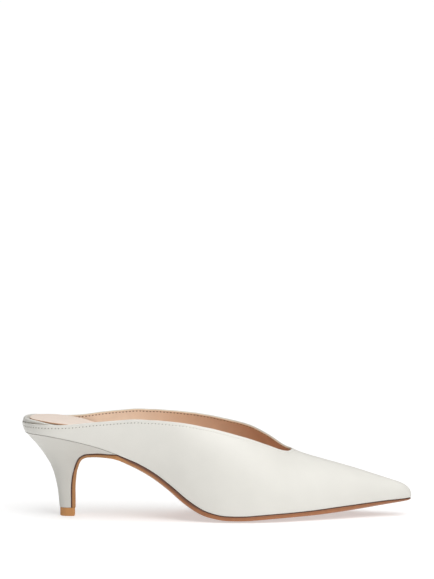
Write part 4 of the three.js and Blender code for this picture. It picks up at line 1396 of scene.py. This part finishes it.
class MULE_OT_outsole(bpy.types.Operator):
    """Tan leather outsole, from the heel's lower end up its breast and along to the toe"""

    bl_idname = "mule.outsole"
    bl_label = "Outsole"

    def execute(self, context):
        colours = context.scene.mule_colours
        path = sole_path()
        top, down, thick = sole_lines(path)
        across, depth, ink_and_shade = sole_section(path, thick)
        middle = (path["inner"] - path["outer"]) / 2
        x = top[:, :1] + down[:, :1] * depth
        z = np.maximum(0, top[:, 1:] + down[:, 1:] * depth)
        grid = stack(x, middle[:, None] + across, z)
        bed = strip(grid[:, 0], grid[:, -1])
        pairs = grid.shape[1] // 2
        caps = [strip(row[: pairs + 1], row[::-1][: pairs + 1]) for row in (grid[0], grid[-1])]
        ink_and_shade_values = [ink_and_shade, np.zeros(bed.shape[:2]), *(np.full(cap.shape[:2], 2.0) for cap in caps)]
        add_piece(
            "outsole_leather", [grid, bed] + caps, sole_leather(colours), "outsole",
            {"edge_depth": ink_and_shade_values},
        )
        return {"FINISHED"}


class MULE_OT_top_piece(bpy.types.Operator):
    """Tan top piece under the heel, round behind and flat in front, with softened edges"""

    bl_idname = "mule.top_piece"
    bl_label = "Top piece"

    def execute(self, context):
        colours = context.scene.mule_colours
        front = HEEL_TIP_BREAST + GAP + FLAP
        length, half = front - HEEL_TIP_BACK, HEEL_TIP_WIDTH / 2
        turn = quarter(15)
        x = np.concatenate([
            HEEL_TIP_BACK + length * TOP_PIECE_BOW * (1 - np.cos(turn)),
            np.linspace(HEEL_TIP_BACK + length * TOP_PIECE_BOW, front - TOP_PIECE_ROUND, 5)[1:],
            front - TOP_PIECE_ROUND * (1 - np.sin(turn[1:])),
            np.full(3, front),
        ])
        y = np.concatenate([
            half * np.sin(turn), np.full(4, half), half - TOP_PIECE_ROUND * (1 - np.cos(turn[1:])),
            np.array([2.0, 1.0, 0.0]) / 3 * (half - TOP_PIECE_ROUND),
        ])
        corner = quarter(5)
        top = TOP_PIECE_HEIGHT + GAP - TOP_PIECE_SINK
        low_round, high_round = TOP_PIECE_FOOT_ROUND, TOP_PIECE_TOP_ROUND
        height = np.concatenate([low_round * (1 - np.cos(corner)), top - high_round * (1 - np.sin(corner))])
        inset = np.concatenate([low_round * (1 - np.sin(corner)), high_round * (1 - np.cos(corner))])
        outline = stack(x, y, 0 * x)
        before = np.concatenate([outline[1:2] * np.array([1, -1, 1]), outline[:-1]])
        after = np.concatenate([outline[1:], outline[-2:-1] * np.array([1, -1, 1])])
        run = after - before
        outward = unit(stack(-run[:, 1], run[:, 0], 0 * x))
        half_grid = outline - (TOP_PIECE_SET_IN + inset[:, None, None]) * outward
        half_grid[..., 2] = height[:, None]
        sides = [half_grid * np.array([1, side, 1]) for side in SIDES]
        caps = [strip(sides[0][row], sides[1][row]) for row in (0, -1)]
        add_piece("heel_top_piece", sides + caps, top_piece_rubber(colours), "top_piece")
        return {"FINISHED"}


# Stage

PHOTO_HEIGHT = 579
SCALE = 0.6692 * MM  # metres of shoe to a pixel
ELEVATION = math.radians(7.8)
DISTANCE = 3.0
SENSOR = 36.0
SHOE_ROW, FLOOR_ROW = 465.0, 515.0  # the shoe's middle and the floor, in rows of the photograph
ROOM = 0.18  # brightness of the white room
FLOOR_GLOW = 0.5  # the floor is a light table, which keeps the shadow on it faint
AIM = (0.0, 0.0, 0.03)  # the lights point at the middle of the shoe
LIGHTS = (
    ("ceiling_light", "SUN", (0.25, -0.4, 1.6), {"energy": 1.5, "angle": math.radians(50)}),
    ("toe_light", "SUN", (1.5, -0.9, 0.8), {"energy": 0.45, "angle": math.radians(50)}),
    ("back_light", "SUN", (0.0, 0.9, 1.4), {"energy": 0.65, "angle": math.radians(50)}),
    ("soft_box", "AREA", (0.08, -0.32, 0.3), {"energy": 0.62, "size": 0.25}),
)


class MULE_OT_stage(bpy.types.Operator):
    """Pale seamless floor, soft studio lights and the camera"""

    bl_idname = "mule.stage"
    bl_label = "Floor, light and camera"

    def execute(self, context):
        scene = context.scene
        self.add_floor(scene)
        self.add_lights(scene)
        self.add_camera(scene)
        scene.view_settings.view_transform = "Standard"
        scene.view_settings.look = "None"
        return {"FINISHED"}

    def add_floor(self, scene):
        """A level floor that reaches far beyond the frame."""
        reach = 40.0
        corners = [(-reach, -reach, 0), (reach, -reach, 0), (reach, reach, 0), (-reach, reach, 0)]
        mesh = bpy.data.meshes.new("studio_floor")
        mesh.from_pydata(corners, [], [(0, 1, 2, 3)])
        material, tree = start_material("matt_paper_floor")
        bsdf = node(tree, "ShaderNodeBsdfPrincipled", {
            "Base Color": (*scene.mule_colours.floor, 1), "Roughness": 0.9, "Specular IOR Level": 0.1,
            "Emission Color": (1, 1, 1, 1), "Emission Strength": FLOOR_GLOW,
        })
        finished(tree, bsdf)
        mesh.materials.append(material)
        floor = bpy.data.objects.new("studio_floor", mesh)
        scene.collection.objects.link(floor)

    def add_lights(self, scene):
        """An even white room, broad suns from above, the toe's side and behind, and a soft box in
        front of the vamp."""
        world = bpy.data.worlds.new("white_room")
        world.use_nodes = True
        world.node_tree.nodes.clear()
        sky = node(world.node_tree, "ShaderNodeBackground", {"Color": (1, 1, 1, 1), "Strength": ROOM})
        node(world.node_tree, "ShaderNodeOutputWorld", {"Surface": sky.outputs[0]})
        scene.world = world
        for name, kind, place, settings in LIGHTS:
            data = bpy.data.lights.new(name, kind)
            for setting, value in settings.items():
                setattr(data, setting, value)
            lamp = bpy.data.objects.new(name, data)
            lamp.location = place
            lamp.visible_camera = False
            aim = Vector(AIM) - Vector(place)
            lamp.rotation_euler = aim.to_track_quat("-Z", "Y").to_euler()
            scene.collection.objects.link(lamp)

    def add_camera(self, scene):
        """The camera looks at the outer side from a little above. It is pitched up from the shoe, so
        that the shoe lies low in the frame as in the photograph."""
        data = bpy.data.cameras.new("camera")
        data.sensor_width = SENSOR
        data.lens = SENSOR * DISTANCE / (PHOTO_HEIGHT * SCALE)
        data.clip_end = 50.0
        pitch = math.atan((SHOE_ROW - PHOTO_HEIGHT / 2) * SCALE / DISTANCE)
        height = (FLOOR_ROW - SHOE_ROW) * SCALE / math.cos(ELEVATION)
        camera = bpy.data.objects.new("camera", data)
        camera.location = (0, -DISTANCE * math.cos(ELEVATION), height + DISTANCE * math.sin(ELEVATION))
        camera.rotation_euler = (math.pi / 2 - ELEVATION + pitch, 0, 0)
        scene.collection.objects.link(camera)
        scene.camera = camera


# Add-on


STEPS = ("upper", "lining", "stitching", "insole", "sock", "heel", "outsole", "top_piece", "stage")


class MULE_PT_sidebar(bpy.types.Panel):
    """Lists the sizes, the colours and the steps that build the shoe"""

    bl_idname = "MULE_PT_sidebar"
    bl_label = "Stiletto mule"
    bl_space_type = "VIEW_3D"
    bl_region_type = "UI"
    bl_category = "Mule"

    def draw(self, context):
        layout = self.layout
        for group in (context.scene.mule_sizes, context.scene.mule_colours):
            box = layout.box()
            for name in group.bl_rna.properties.keys():
                if name not in ("rna_type", "name"):
                    box.prop(group, name)
        for step in STEPS:
            layout.operator(f"mule.{step}")


CLASSES = (
    MuleSizes, MuleColours, MULE_OT_upper, MULE_OT_lining, MULE_OT_stitching, MULE_OT_insole,
    MULE_OT_sock, MULE_OT_heel, MULE_OT_outsole, MULE_OT_top_piece, MULE_OT_stage, MULE_PT_sidebar,
)


def register():
    """Adds the classes, then the scene's sizes and colours."""
    for cls in CLASSES:
        bpy.utils.register_class(cls)
    bpy.types.Scene.mule_sizes = bpy.props.PointerProperty(type=MuleSizes)
    bpy.types.Scene.mule_colours = bpy.props.PointerProperty(type=MuleColours)


def unregister():
    """Takes them out again, in the opposite order."""
    del bpy.types.Scene.mule_colours
    del bpy.types.Scene.mule_sizes
    for cls in reversed(CLASSES):
        bpy.utils.unregister_class(cls)


def main():
    """Builds the shoe and the stage step by step."""
    register()
    for step in STEPS:
        if getattr(bpy.ops.mule, step)() != {"FINISHED"}:
            raise RuntimeError(f"the step {step} didn't finish")


if __name__ == "__main__":
    main()
